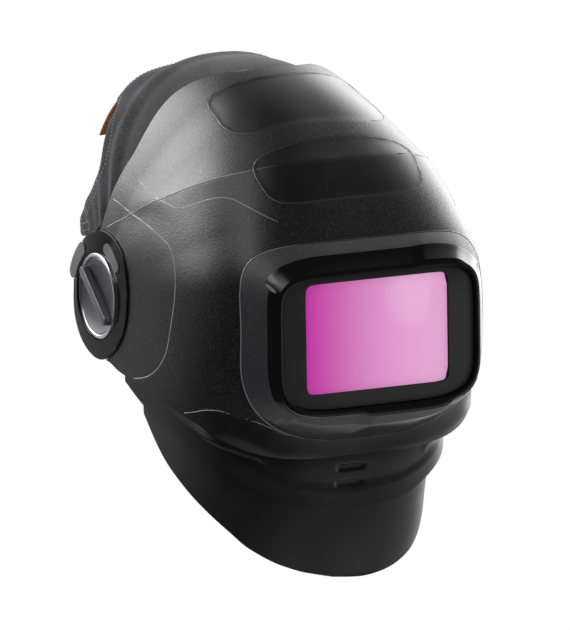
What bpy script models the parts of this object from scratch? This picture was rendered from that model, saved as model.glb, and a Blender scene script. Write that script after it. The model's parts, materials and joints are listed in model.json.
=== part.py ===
"""Headtop of a powered air respirator: a welding shield that flips up over a clear visor, on a head harness
with an air duct and a soft cover.

Frame: the origin is the middle of the pivot axis, which runs along X. The front faces -Y and +Z is up.
The wearer's right is at -X. Lengths are in metres, given as millimetres times MM.
"""

import math

import bmesh
import bpy
import numpy as np
from mathutils import Matrix, Vector

MM = 0.001
OBJECT_NAME = "respirator_headtop"
SIDES = {"right": -1, "left": 1}

# ---------------------------------------------------------------- driving sizes
GAP = 0.35 * MM  # clearance between two pieces that are seated on each other
RUN = 0.5 * MM  # clearance round a piece that turns or slides
FACET = 0.3 * MM  # allowance between two curved surfaces whose facets are split differently

# Fan surfaces: a section through the pivot axis at each angle, from the front (0) over the crown (90).
# Each row is the angle, the reach from the axis and the exponent that makes the section square or round.
SHELL_ROWS = (
    (-180, 157 * MM, 2.4), (-110, 166 * MM, 2.9), (-70, 170 * MM, 3.2), (-50, 178 * MM, 3.6),
    (-31, 175 * MM, 4.2), (-10, 172 * MM, 5.0), (10, 171 * MM, 4.8), (25, 165 * MM, 3.8),
    (40, 161.5 * MM, 3.0), (55, 160 * MM, 2.45), (70, 159 * MM, 2.2), (95, 157.5 * MM, 2.2),
    (130, 157 * MM, 2.2), (180, 157 * MM, 2.4),
)
VISOR_ROWS = ((-180, 155 * MM, 3.0), (180, 155 * MM, 3.0))
BAND_ROWS = ((-180, 151.5 * MM, 2.2), (180, 151.5 * MM, 2.2))
SHELL_HALF = 112 * MM  # half width of the shield at its pivots
VISOR_HALF = SHELL_HALF - 8 * MM
BAND_HALF = VISOR_HALF - MM
BEYOND = SHELL_HALF + 18 * MM  # clear of every side of the object
DEEP = 200 * MM  # longer than any reach of the object
FAN_COLUMNS = 36
FAN_ROWS = 22

SHELL_WALL = 2.2 * MM
FRAME_WALL = 2.4 * MM
VISOR_WALL = 2.0 * MM
SEAL_WALL = 2.2 * MM
LEATHER = 2.0 * MM
CLOTH = 2.0 * MM

# Pivots
BOLT_R = 5 * MM
HUB_R = 14 * MM
EAR_R = 26 * MM
ARM_INNER = VISOR_HALF - 22.5 * MM
ARM_WALL = 3 * MM
HUB_OUTER = VISOR_HALF - FRAME_WALL - 0.4 * MM
SEAT_FACE = SHELL_HALF - 4.8 * MM  # outer face of the shield's pivot plate
SEAT_BACK = SEAT_FACE - 2.3 * MM
SEAT_MARGIN = 3 * MM
BEZEL_PROUD = 1.2 * MM
BOLT_END = SEAT_FACE + 2.1 * MM
KNOB_R = 28.6 * MM
KNOB_TILT = math.radians(4.2)
KNOB_FACE = SHELL_HALF + 1.5 * MM
KNOB_DEPTH = 3.8 * MM
KNOB_RIM = 2.6 * MM
KNOB_SLOPE = 3 * MM
KNOB_DISH = 2.0 * MM
GRIP_TURN = math.radians(40)
GRIP_GAP = 0.6 * MM
GRIP_SUNK = MM
GRIP_PROUD = 1.6 * MM
GRIP_WIDTH = 8 * MM
# Bezel outline about the pivot: angle from the front upwards, and reach.
BEZEL_POLAR = (
    (0, 40.5), (20, 43), (45, 46), (65, 45), (90, 44), (125, 41.5), (150, 38), (180, 34),
    (210, 37), (240, 40.5), (275, 43), (300, 41), (330, 40), (360, 40.5),
)
PAD_INNER = KNOB_R + 2.6 * MM
PAD_OUTER = 38.5 * MM
PAD_HALF_ANGLE = 15
FRONT_PAD_ANGLE = 57
REAR_PAD_ANGLE = 146
PAD_LOW = SHELL_HALF - 2.8 * MM
PAD_TRAVEL = 1.4 * MM
REAR_PAD_OUT = 3 * MM
PAD_PROUD = 0.8 * MM

# Window group, in a plane that leans back a little: X across, Y into the shield, Z up.
WINDOW_AT = (0, -177 * MM, -7.25 * MM)
WINDOW_LEAN = math.radians(-1.8)
WINDOW_HALF_X = 54.5 * MM
WINDOW_HALF_Z = 36.8 * MM
PLATE_HALF_X = 73.5 * MM
PLATE_TOP = 40.4 * MM
PLATE_BOTTOM = -47.4 * MM
PLATE_WALL = 2 * MM
PLATE_CORNERS = (5.0, 7.0)  # exponents of its outline below and above the middle
WINDOW_CORNERS = 14.0
LEDGE = 1.0 * MM
LIP_WIDTH = 4.5 * MM
LIP_PROUD = 2.5 * MM
FRAME_HALF_X = SHELL_HALF - 19 * MM
FRAME_TOP = 62 * MM
FRAME_BOTTOM = -74 * MM
FRAME_PROUD = 1.4 * MM
FRAME_DEEP = 9 * MM
FRAME_REACH = 30 * MM  # how far back the opening in the frame runs
FRAME_CORNERS = (2.6, 5.5)
LIP_CORNERS = (4.5, 6.5)
LIP_DROP = 2 * MM
HOUSING_DEPTH = 14.4 * MM
GLASS_MARGIN = 0.8 * MM
GLASS_WALL = 3 * MM
SHUTTER_WALL = 2 * MM
WEB_WALL = 2 * MM  # ledge between the glass and the shutter
WEB_WIDTH = 2 * MM
BOARD_WALL = 1.2 * MM
INNER_PLATE_WALL = 1.5 * MM
BUTTON_R = 2.5 * MM
BUTTON_PITCH = 20 * MM
BUTTON_PROUD = 1.4 * MM
BUTTON_SUNK = 3 * MM
SENSOR_R = 3 * MM
SENSOR_LENGTH = 3.5 * MM
BATTERY_HALF = (5 * MM, 13 * MM)
POCKET_DEPTH = 5 * MM
RETAINER_WALL = 1.2 * MM
RETAINER_SIDE = 4.5 * MM  # widths of the retaining frame
RETAINER_BOTTOM = 2.4 * MM
RETAINER_TOP = 4 * MM

# Chin cover and throat guard: horizontal sections by height: how much narrower than the visor frame they are
# on each side, front reach, exponent.
CHIN_ROWS = (
    (-136, 7.5, 136.5, 3.9), (-120, 6.5, 138.5, 3.9), (-94, 4.5, 143.5, 3.8), (-70, 4.2, 142, 3.7),
    (-45, 3.7, 138, 3.6),
)
GUARD_ROWS = (
    (-182, 14, 117, 4.0), (-165, 12, 122.5, 4.0), (-150, 11, 126.5, 4.0), (-130, 10.5, 130.5, 3.9),
    (-110, 10, 133.5, 3.9), (-60, 7.5, 136, 3.8),
)
CHIN_WALL = 2.4 * MM
GUARD_WALL = 1.8 * MM
# Edges of both: angle round the section from the front, and height.
CHIN_TOP = ((0, -86), (20, -85), (40, -76), (60, -63), (69, -57), (78, -46), (84, -41))
CHIN_EDGE = (
    (0, -133), (22, -127.5), (41, -107.5), (52, -93), (60, -83.5), (74, -70.5), (84, -57),
)
GUARD_TOP = ((0, -122), (22, -118), (41, -101), (52, -87.5), (65, -74.5), (77, -62))
GUARD_EDGE = (
    (0, -178.5), (13, -177), (24, -172.5), (36, -162), (43, -153), (52, -138), (59, -125), (67, -108),
    (77, -80),
)
CHIN_HANG = MM  # how much lower each hangs on the wearer's left
GUARD_HANG = 8 * MM
SEAL_LINE = ((0, -94), (22, -92), (41, -85), (52, -76), (65, -64.5), (78, -54))  # outer edge of the seal
SEAL_ROWS = (  # how far inside the chin cover each row of the seal is, and how far above its outer edge
    (CHIN_WALL + 3 * GAP, 0), (12 * MM, -3), (24 * MM, -1), (36 * MM, 6),
)
SEAL_COLUMNS = 11
BIB_TURN = 6  # angle of one column of the sheets round the chin
CHIN_COLUMNS = 14  # columns on each side of the front
GUARD_COLUMNS = 13
BIB_STEPS = 5
SLOT_HALF_X = 11 * MM
SLOT_HALF_Z = 2.6 * MM
SLOT_HEIGHTS = (-103 * MM, -114 * MM)
SLOT_FRONT = -150 * MM
SLOT_BACK = -120 * MM

# Head harness
HEAD_HALF_X = ARM_INNER - 2.5 * MM
HEAD_FRONT = -92 * MM
HEAD_BACK = 100 * MM
HEAD_CENTRE_Y = 5 * MM
BAND_HEIGHT = 20 * MM
BAND_WALL = 2.4 * MM
BAND_END = 118  # angle from the front at which each side ends
BROW_Z = 62 * MM
TEMPLE_Z = 34 * MM
NAPE_Z = -34 * MM
CROWN_TOP = 121 * MM
CROWN_STRAPS = {"front": -14 * MM, "rear": 36 * MM}
STRAP_WIDTH = 18 * MM
STRAP_WALL = 1.8 * MM
STRAP_STEPS = 18
BROW_PAD = 6 * MM
REAR_STRAP_WIDTH = 14 * MM
REAR_STRAP_START = 94  # angle from the front at which it starts inside the headband
BROW_PAD_END = 42
BROW_PAD_OVER = 6 * MM  # how much taller each pad is than its strap
NAPE_PAD = 5 * MM
NAPE_PAD_HALF = 30
NAPE_PAD_OVER = 8 * MM
HEAD_CORNERS = 2.3
RATCHET_R = 17 * MM
RATCHET_BODY = (30 * MM, 12 * MM, 16 * MM)
RATCHET_LENGTH = 8 * MM
RATCHET_EDGE = 2 * MM
HOUSING_EDGE = 3 * MM

# Soft cover
COVER_CENTRE = (0, 10 * MM, 20 * MM)
COVER_RADII = (VISOR_HALF - 8 * MM, 108 * MM, 128 * MM)

# Air path
DUCT_HALF_X = 32 * MM
DUCT_OUTER = 147.8 * MM
DUCT_INNER = 117 * MM
DUCT_WALL = 2.2 * MM
DUCT_ARC = (122, 172)
PATCH_ARC = 17
PATCH_WALL = 1.8 * MM
PATCH_OVER = MM
CROWN_DUCT_HALF = 26 * MM
CROWN_DUCT_HEIGHT = 9 * MM
CROWN_DUCT_FRONT = -52 * MM
CROWN_DUCT_REAR = 52 * MM
CROWN_DUCT_WALL = 1.8 * MM
CROWN_LAYER_LOW = 60 * MM
PAST_END = 20 * MM  # how far a bore runs past the ends of what it goes through
FLAP_SIZE = (48 * MM, 18 * MM, 2.4 * MM)
FLAP_PIN_R = 1.5 * MM
FLAP_TILT = math.radians(28)
FLAP_SIDE = 2 * MM
INLET_Y = 134 * MM
INLET_R = 15 * MM
INLET_BORE = 11.5 * MM
INLET_TOP = 22 * MM
INLET_LENGTH = 15 * MM
SWIVEL_LENGTH = 22 * MM
SWIVEL_COLLAR = 4 * MM
SWIVEL_STEP = 2 * MM
SEAL_HEIGHT = 2 * MM

SEGMENTS = 28


# ---------------------------------------------------------------- scene and collections
def empty_scene():
    for obj in list(bpy.data.objects):
        bpy.data.objects.remove(obj)


def collection(name, hidden):
    made = bpy.data.collections.new(name)
    bpy.context.scene.collection.children.link(made)
    made.hide_render = hidden
    return made


empty_scene()
PARTS = collection(OBJECT_NAME, False)
CUTTERS = collection("cutters", True)

FINISHES = {  # colour, roughness, metallic
    "shell": ((0.028, 0.028, 0.03), 0.42, 0.0),
    "gloss_black": ((0.012, 0.012, 0.013), 0.15, 0.0),
    "matt_black": ((0.02, 0.02, 0.021), 0.6, 0.0),
    "rubber": ((0.022, 0.022, 0.023), 0.75, 0.0),
    "grey": ((0.16, 0.16, 0.165), 0.45, 0.0),
    "knob": ((0.2, 0.2, 0.21), 0.25, 0.6),
    "leather": ((0.06, 0.06, 0.062), 0.85, 0.0),
    "tan": ((0.55, 0.26, 0.12), 0.8, 0.0),
    "cloth": ((0.018, 0.018, 0.02), 0.95, 0.0),
    "filter": ((0.72, 0.1, 0.55), 0.08, 0.3),
    "clear": ((0.8, 0.85, 0.85), 0.05, 0.0),
    "steel": ((0.55, 0.55, 0.56), 0.3, 1.0),
    "board": ((0.03, 0.16, 0.07), 0.5, 0.0),
}


def material(name, finish):
    colour, roughness, metallic = FINISHES[finish]
    made = bpy.data.materials.new(name)
    made.use_nodes = True
    shader = made.node_tree.nodes["Principled BSDF"]
    shader.inputs["Base Color"].default_value = (*colour, 1)
    shader.inputs["Roughness"].default_value = roughness
    shader.inputs["Metallic"].default_value = metallic
    return made


def new_object(name, mesh, finish=None, parent=None):
    """A piece when it has a finish, and a hidden cutter when it has none."""
    obj = bpy.data.objects.new(name, mesh)
    if finish:
        PARTS.objects.link(obj)
        obj.data.materials.append(material(name, finish))
        mesh.shade_smooth()
        mesh.set_sharp_from_angle(angle=math.radians(35))
    else:
        CUTTERS.objects.link(obj)
        obj.hide_render = True
        obj.display_type = "WIRE"
    if parent:
        obj.parent = parent
    return obj


def mesh_of(bm, name, outward=True):
    if outward:
        bmesh.ops.recalc_face_normals(bm, faces=bm.faces[:])
    mesh = bpy.data.meshes.new(name)
    bm.to_mesh(mesh)
    bm.free()
    return mesh


def boolean(obj, other, operation="DIFFERENCE", solver="EXACT"):
    modifier = obj.modifiers.new(f"{operation.lower()} {other.name}", "BOOLEAN")
    modifier.operation = operation
    modifier.object = other
    modifier.solver = solver


def bevel(obj, width, segments=2, angle=40):
    modifier = obj.modifiers.new("rounded edges", "BEVEL")
    modifier.width = width
    modifier.segments = segments
    modifier.limit_method = "ANGLE"
    modifier.angle_limit = math.radians(angle)


# ---------------------------------------------------------------- curves and sections
def smooth(rows, at, column=1):
    """Value at a place in a table of rows, on a curve that keeps a steady slope at each row."""
    xs = [row[0] for row in rows]
    ys = [row[column] for row in rows]
    i = min(max(int(np.searchsorted(xs, at)) - 1, 0), len(xs) - 2)
    slopes = [(ys[j + 1] - ys[j]) / (xs[j + 1] - xs[j]) for j in range(len(xs) - 1)]

    def tangent(j):
        if j in (0, len(xs) - 1):
            return slopes[min(j, len(slopes) - 1)]
        before, after = slopes[j - 1], slopes[j]
        return 0 if before * after <= 0 else 2 * before * after / (before + after)

    step = xs[i + 1] - xs[i]
    u = min(max((at - xs[i]) / step, 0), 1)
    a, b = tangent(i) * step, tangent(i + 1) * step
    return (
        ys[i] * (2 * u**3 - 3 * u**2 + 1) + a * (u**3 - 2 * u**2 + u)
        + ys[i + 1] * (3 * u**2 - 2 * u**3) + b * (u**3 - u**2)
    )


def square_circle(turn, exponent):
    """Point on a unit outline between a circle (2) and a square (large), at this turn from the first axis."""
    c, s = math.cos(turn), math.sin(turn)
    k = (abs(c) ** exponent + abs(s) ** exponent) ** (-1 / exponent)
    return c * k, s * k


def fan_point(rows, half, angle, across, out=0.0):
    """Point of a fan surface at an angle about the pivot axis and at a place across it, from -1 to 1."""
    reach = smooth(rows, angle) + out
    c, s = square_circle(across * math.pi / 2, smooth(rows, angle, 2))
    turn = math.radians(angle)
    return Vector(((half + out) * s, -reach * c * math.cos(turn), reach * c * math.sin(turn)))


def fan_front(rows, half, x, z, out=0.0):
    """Y of the fan surface's front at this X and Z."""
    y = -(smooth(rows, 0) + out)
    for _ in range(30):
        angle = math.degrees(math.atan2(z, -y))
        exponent = smooth(rows, angle, 2)
        share = max(1 - abs(x / (half + out)) ** exponent, 0.02) ** (1 / exponent)
        reach = (smooth(rows, angle) + out) * share
        y = -math.sqrt(max(reach**2 - z**2, (20 * MM) ** 2))
    return y


# ---------------------------------------------------------------- solids
def fan_solid(name, rows, half, out=0.0, finish=None):
    """Closed solid inside a fan surface, with a pole at each pivot."""
    bm = bmesh.new()
    rings = []
    for j in range(1, FAN_ROWS):
        across = -1 + 2 * j / FAN_ROWS
        angles = [-180 + 360 * i / FAN_COLUMNS for i in range(FAN_COLUMNS)]
        rings.append([bm.verts.new(fan_point(rows, half, a, across, out)) for a in angles])
    for first, second in zip(rings, rings[1:]):
        for i in range(FAN_COLUMNS):
            k = (i + 1) % FAN_COLUMNS
            bm.faces.new((first[i], first[k], second[k], second[i]))
    for ring, x in ((rings[0], -(half + out)), (rings[-1], half + out)):
        pole = bm.verts.new((x, 0, 0))
        for i in range(FAN_COLUMNS):
            bm.faces.new((ring[i], ring[(i + 1) % FAN_COLUMNS], pole))
    return new_object(name, mesh_of(bm, name), finish)


def prism(name, outline, axis, low, high, finish=None, parent=None):
    """Flat outline pushed along X or Y. An X prism's outline is (y, z) and a Y prism's is (x, z)."""
    bm = bmesh.new()
    if axis == "X":
        points = [(low, a, b) for a, b in outline]
        push = Vector((high - low, 0, 0))
    else:
        points = [(a, low, b) for a, b in outline]
        push = Vector((0, high - low, 0))
    face = bm.faces.new([bm.verts.new(p) for p in points])
    pushed = bmesh.ops.extrude_face_region(bm, geom=[face])
    moved = [v for v in pushed["geom"] if isinstance(v, bmesh.types.BMVert)]
    bmesh.ops.translate(bm, vec=push, verts=moved)
    return new_object(name, mesh_of(bm, name), finish, parent)


def rod(name, radius, low, high, axis="X", centre=(0, 0), finish=None, segments=SEGMENTS, parent=None):
    """Cylinder between two places on an axis; centre is its place on the other two."""
    bm = bmesh.new()
    bmesh.ops.create_cone(
        bm, cap_ends=True, segments=segments, radius1=radius, radius2=radius, depth=high - low
    )
    middle = (low + high) / 2
    turn, place = {
        "X": (Matrix.Rotation(math.pi / 2, 4, "Y"), (middle, *centre)),
        "Y": (Matrix.Rotation(math.pi / 2, 4, "X"), (centre[0], middle, centre[1])),
        "Z": (Matrix.Identity(4), (*centre, middle)),
    }[axis]
    bmesh.ops.transform(bm, matrix=Matrix.Translation(place) @ turn, verts=bm.verts[:])
    return new_object(name, mesh_of(bm, name), finish, parent)


def block(name, low, high, finish=None, parent=None):
    bm = bmesh.new()
    bmesh.ops.create_cube(bm, size=1)
    low, high = Vector(low), Vector(high)
    size = Matrix.Diagonal((*(high - low), 1))
    bmesh.ops.transform(bm, matrix=Matrix.Translation((low + high) / 2) @ size, verts=bm.verts[:])
    return new_object(name, mesh_of(bm, name), finish, parent)


def ellipsoid(name, centre, radii, grow, finish=None):
    bm = bmesh.new()
    bmesh.ops.create_uvsphere(bm, u_segments=32, v_segments=16, radius=1)
    size = Matrix.Diagonal((*[r + grow for r in radii], 1))
    bmesh.ops.transform(bm, matrix=Matrix.Translation(centre) @ size, verts=bm.verts[:])
    return new_object(name, mesh_of(bm, name), finish)


def sweep(name, sections, finish=None, closed=False):
    """Skin through sections of equal point count, with a cap on each end unless it closes on itself."""
    bm = bmesh.new()
    rings = [[bm.verts.new(p) for p in section] for section in sections]
    pairs = list(zip(rings, rings[1:])) + ([(rings[-1], rings[0])] if closed else [])
    for first, second in pairs:
        for i in range(len(first)):
            k = (i + 1) % len(first)
            bm.faces.new((first[i], first[k], second[k], second[i]))
    if not closed:
        bm.faces.new(rings[0])
        bm.faces.new(rings[-1])
    return new_object(name, mesh_of(bm, name), finish)


def sheet(name, grid, wall, finish):
    """Open grid of points, outer side first, with a wall of this thickness behind it."""
    bm = bmesh.new()
    rows = [[bm.verts.new(p) for p in row] for row in grid]
    for first, second in zip(rows, rows[1:]):
        for i in range(len(first) - 1):
            bm.faces.new((first[i], first[i + 1], second[i + 1], second[i]))
    obj = new_object(name, mesh_of(bm, name, outward=False), finish)
    solid = obj.modifiers.new("wall", "SOLIDIFY")
    solid.thickness = wall
    solid.offset = -1
    solid.use_even_offset = True
    return obj


def rounded_box(half_x, low, high, exponent_low, exponent_high, count=36):
    """Outline in X and Z between two heights, with its own corner shape above and below its middle."""
    middle = (low + high) / 2
    points = []
    for i in range(count):
        turn = 2 * math.pi * i / count
        above = math.sin(turn) >= 0
        c, s = square_circle(turn, exponent_high if above else exponent_low)
        points.append((half_x * c, middle + (high - middle) * s))
    return points


def polar_outline(rows, grow, count=44):
    """Outline about the pivot in Y and Z, from a table of angle and reach in millimetres."""
    points = []
    for i in range(count):
        angle = 360 * (i + 0.5) / count
        reach = smooth(rows, angle) * MM + grow
        turn = math.radians(angle)
        points.append((-reach * math.cos(turn), reach * math.sin(turn)))
    return points


def ring_sector(inner, outer, start, end, steps=8):
    """Outline in Y and Z between two radii and two angles about the pivot."""
    turns = [math.radians(start + (end - start) * i / steps) for i in range(steps + 1)]
    out = [(-outer * math.cos(t), outer * math.sin(t)) for t in turns]
    back = [(-inner * math.cos(t), inner * math.sin(t)) for t in reversed(turns)]
    return out + back


def capsule_arc(inner, outer, middle, half_angle, grow, steps=6):
    """Curved pad outline with round ends, about the pivot in Y and Z."""
    radius, half = (inner + outer) / 2, (outer - inner) / 2 + grow
    points = []
    for end, sign in ((middle + half_angle, 1), (middle - half_angle, -1)):
        spot = math.radians(end)
        centre = Vector((-radius * math.cos(spot), radius * math.sin(spot)))
        for i in range(steps + 1):
            turn = spot + (math.pi * i / steps if sign > 0 else math.pi + math.pi * i / steps)
            points.append((centre.x - half * math.cos(turn), centre.y + half * math.sin(turn)))
        between = [middle + sign * half_angle * (1 - 2 * (i + 1) / (steps + 1)) for i in range(steps)]
        reach = radius - sign * half
        points += [(-reach * math.cos(math.radians(a)), reach * math.sin(math.radians(a))) for a in between]
    return points


def span(side, low, high):
    """The lowest and highest X of a piece between two distances from the middle, on this side."""
    return (low, high) if side > 0 else (-high, -low)


# ---------------------------------------------------------------- shield
SHELL_SIDE = (  # outline from the side, in Y and Z: crown, rear edge, pivot, lower rim, front
    (-45, 175), (-45, 153), (-36, 150), (-25, 144.5), (-18, 138), (-15, 128), (-15, 112), (-14, 98),
    (-8, 82), (-3, 67), (0, 55), (4, 43), (16, 37), (28, 25), (32.5, 8), (32, -10), (27, -25),
    (16, -35), (0, -41), (-14, -43), (-26, -47), (-45, -50.5), (-75, -57), (-108, -66), (-133, -76),
    (-146, -86), (-150, -92), (-152, -95), (-154, -99), (-190, -112), (-200, 0), (-190, 120), (-120, 175),
)


def scaled(points):
    return [(a * MM, b * MM) for a, b in points]


def bezel_prism(name, side, grow, low, high, finish=None):
    return prism(name, polar_outline(BEZEL_POLAR, grow), "X", *span(side, low, high), finish)


def window_empty():
    plane = bpy.data.objects.new("window_plane", None)
    PARTS.objects.link(plane)
    plane.location = WINDOW_AT
    plane.rotation_euler = (WINDOW_LEAN, 0, 0)
    return plane


def plate_outline(grow):
    return rounded_box(PLATE_HALF_X + grow, PLATE_BOTTOM - grow, PLATE_TOP + grow, *PLATE_CORNERS)


def make_shell(window):
    shell = fan_solid("outer_shell", SHELL_ROWS, SHELL_HALF, 0, "shell")
    boolean(shell, prism("shell_side", scaled(SHELL_SIDE), "X", -DEEP, DEEP), "INTERSECT")
    hollow = fan_solid("shell_hollow", SHELL_ROWS, SHELL_HALF, -SHELL_WALL)
    for word, side in SIDES.items():
        boolean(hollow, bezel_prism(f"seat_keep_{word}", side, SEAT_MARGIN, SEAT_BACK, BEYOND))
        boolean(shell, bezel_prism(f"seat_cut_{word}", side, GAP, SEAT_FACE, BEYOND), solver="MANIFOLD")
    boolean(shell, hollow, solver="MANIFOLD")
    for word, side in SIDES.items():
        boolean(shell, rod(f"pivot_hole_{word}", BOLT_R + RUN, *span(side, HUB_OUTER, BEYOND)))
    opening = prism(
        "filter_opening", plate_outline(GAP - LEDGE), "Y", -FRAME_REACH, 2 * FRAME_REACH, parent=window
    )
    boolean(shell, opening)


def make_front_frame(window):
    """Deep ring round the window, from a lip in front of the cover plate out to the shell's surface."""
    to_window = window_matrix().inverted()
    count = 36
    outer_low, outer_high = [], []
    for x, z in rounded_box(FRAME_HALF_X, FRAME_BOTTOM, FRAME_TOP, *FRAME_CORNERS, count):
        world_z = z + WINDOW_AT[2]
        y = fan_front(SHELL_ROWS, SHELL_HALF, x, world_z)
        outer_high.append(to_window @ Vector((x, y - FRAME_PROUD, world_z)))
        outer_low.append(to_window @ Vector((x, y + FRAME_DEEP, world_z)))
    lip_shape = rounded_box(
        PLATE_HALF_X + LIP_WIDTH, PLATE_BOTTOM - LIP_WIDTH - LIP_DROP, PLATE_TOP + LIP_WIDTH, *LIP_CORNERS,
        count,
    )

    def at(outline, depth):
        return [Vector((x, depth, z)) for x, z in outline]

    ledge_depth = PLATE_WALL + GAP
    sections = [
        outer_low, outer_high, at(lip_shape, -LIP_PROUD), at(plate_outline(GAP), -LIP_PROUD),
        at(plate_outline(GAP), ledge_depth), at(plate_outline(-LEDGE), ledge_depth),
        at(plate_outline(-LEDGE), FRAME_REACH),
    ]
    frame = sweep("front_frame", sections, "gloss_black", closed=True)
    frame.parent = window
    boolean(frame, fan_solid("shell_skin", SHELL_ROWS, SHELL_HALF, GAP + FACET))


def window_matrix():
    return Matrix.Translation(WINDOW_AT) @ Matrix.Rotation(WINDOW_LEAN, 4, "X")


def window_box(name, grow, depth_low, depth_high, finish=None, parent=None):
    half_z = WINDOW_HALF_Z + grow
    outline = rounded_box(WINDOW_HALF_X + grow, -half_z, half_z, WINDOW_CORNERS, WINDOW_CORNERS, 32)
    return prism(name, outline, "Y", depth_low, depth_high, finish, parent)


def make_filter(window):
    """Cover plate, and the filter cartridge behind it with its glass, shutter, board and plates."""
    prism("cover_plate", plate_outline(0), "Y", 0, PLATE_WALL, "gloss_black", window)
    front = PLATE_WALL + 2 * GAP
    back = front + HOUSING_DEPTH
    housing = prism("filter_housing", plate_outline(-LEDGE - GAP), "Y", front, back, "matt_black", window)
    web_front = front + GLASS_WALL + 3 * GAP
    web_back = web_front + WEB_WALL
    edge = GLASS_MARGIN + GAP
    boolean(housing, window_box("front_pocket", edge, front - MM, web_front, parent=window))
    boolean(housing, window_box("back_pocket", edge, web_back, back + MM, parent=window))
    boolean(housing, window_box("sight_hole", -WEB_WIDTH, front, back, parent=window))
    glass_at = front + GAP
    window_box("filter_glass", GLASS_MARGIN, glass_at, glass_at + GLASS_WALL, "filter", window)
    shutter_at = web_back + GAP
    shutter_end = shutter_at + SHUTTER_WALL
    window_box("shutter_panel", GLASS_MARGIN, shutter_at, shutter_end, "clear", window)
    board_at = shutter_end + GAP
    board_end = board_at + BOARD_WALL
    board = window_box("circuit_board", GLASS_MARGIN, board_at, board_end, "board", window)
    boolean(board, window_box("board_hole", -WEB_WIDTH, board_at - MM, board_end + MM, parent=window))
    inner_at = board_end + GAP
    window_box("inner_cover_plate", GLASS_MARGIN, inner_at, inner_at + INNER_PLATE_WALL, "clear", window)
    make_housing_fittings(window, housing, front, back)
    make_retainer(window, back)


def make_housing_fittings(window, housing, front, back):
    """Sensors at the front of the cartridge, battery holders and buttons at its back."""
    margin_x = (WINDOW_HALF_X + GLASS_MARGIN + PLATE_HALF_X - LEDGE) / 2
    for word, side in SIDES.items():
        place = (side * margin_x, 0)
        sensor_back = front + SENSOR_LENGTH
        pocket = rod(
            f"sensor_pocket_{word}", SENSOR_R + GAP, front - MM, sensor_back + GAP, "Y", place, parent=window
        )
        boolean(housing, pocket)
        rod(f"light_sensor_{word}", SENSOR_R, front + GAP, sensor_back, "Y", place, "clear", 16, window)
        half_x, half_z = BATTERY_HALF
        low = (place[0] - half_x, back - POCKET_DEPTH, -half_z)
        high = (place[0] + half_x, back + MM, half_z)
        boolean(housing, block(f"battery_pocket_{word}", low, high, parent=window))
        low = (low[0] + GAP, low[1] + GAP, low[2] + GAP)
        high = (high[0] - GAP, back - GAP / 2, high[2] - GAP)
        block(f"battery_holder_{word}", low, high, "grey", window)
    button_z = (PLATE_BOTTOM + LEDGE - WINDOW_HALF_Z - GLASS_MARGIN) / 2
    for i, name in enumerate(("shade_button", "sensitivity_button", "mode_button")):
        place = ((i - 1) * BUTTON_PITCH, button_z)
        hole = rod(f"{name}_hole", BUTTON_R + GAP, back - POCKET_DEPTH, back + MM, "Y", place, parent=window)
        boolean(housing, hole)
        rod(name, BUTTON_R, back - BUTTON_SUNK, back + BUTTON_PROUD, "Y", place, "grey", 20, window)


def make_retainer(window, back):
    """Frame behind the cartridge that holds it in the shield, open over its back."""
    low, high = back + GAP, back + GAP + RETAINER_WALL
    retainer = prism("retaining_frame", plate_outline(-LEDGE - GAP), "Y", low, high, "steel", window)
    hole = rounded_box(
        PLATE_HALF_X - RETAINER_SIDE, PLATE_BOTTOM + RETAINER_BOTTOM, PLATE_TOP - RETAINER_TOP, *PLATE_CORNERS
    )
    boolean(retainer, prism("retainer_hole", hole, "Y", low - MM, high + MM, parent=window))


def knob_matrix(side):
    """Place of a tension knob: local Z points outwards along its own axis, which leans to the rear."""
    out = Vector((side * math.cos(KNOB_TILT), math.sin(KNOB_TILT), 0))
    up = Vector((0, 0, 1))
    across = up.cross(out)
    turn = Matrix((across, up, out)).transposed().to_4x4()
    return Matrix.Translation((side * KNOB_FACE, 0, 0)) @ turn


def turned(name, profile, matrix, finish=None, steps=SEGMENTS):
    """Closed profile in radius and height, turned about the local Z of a placing matrix."""
    bm = bmesh.new()
    corners = [bm.verts.new((r, 0, h)) for r, h in profile]
    edges = [bm.edges.new((a, b)) for a, b in zip(corners, corners[1:] + corners[:1])]
    bmesh.ops.spin(
        bm, geom=corners + edges, cent=(0, 0, 0), axis=(0, 0, 1), angle=2 * math.pi, steps=steps,
        use_duplicate=False,
    )
    bmesh.ops.remove_doubles(bm, verts=bm.verts[:], dist=0.01 * MM)
    bmesh.ops.transform(bm, matrix=matrix, verts=bm.verts[:])
    return new_object(name, mesh_of(bm, name), finish)


def make_knob(word, side):
    """Dished knob with a rim and a diagonal grip bar."""
    place = knob_matrix(side)
    inside = KNOB_R - KNOB_RIM
    dish = [
        (0, -KNOB_DEPTH), (KNOB_R, -KNOB_DEPTH), (KNOB_R, 0), (inside, 0),
        (inside - KNOB_SLOPE, -KNOB_DISH * 0.7), (0, -KNOB_DISH),
    ]
    knob = turned(f"tension_knob_{word}", dish, place, "knob")
    slope = Matrix.Rotation(side * GRIP_TURN, 4, "Z")
    bm = bmesh.new()
    bmesh.ops.create_cube(bm, size=1)
    foot = GRIP_SUNK - KNOB_DEPTH
    size = Matrix.Diagonal((2 * (inside - GRIP_GAP), GRIP_WIDTH, GRIP_PROUD - foot, 1))
    lift = Matrix.Translation((0, 0, (GRIP_PROUD + foot) / 2))
    bmesh.ops.transform(bm, matrix=place @ slope @ lift @ size, verts=bm.verts[:])
    boolean(knob, new_object(f"grip_{word}", mesh_of(bm, f"grip_{word}")), "UNION")


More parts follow.
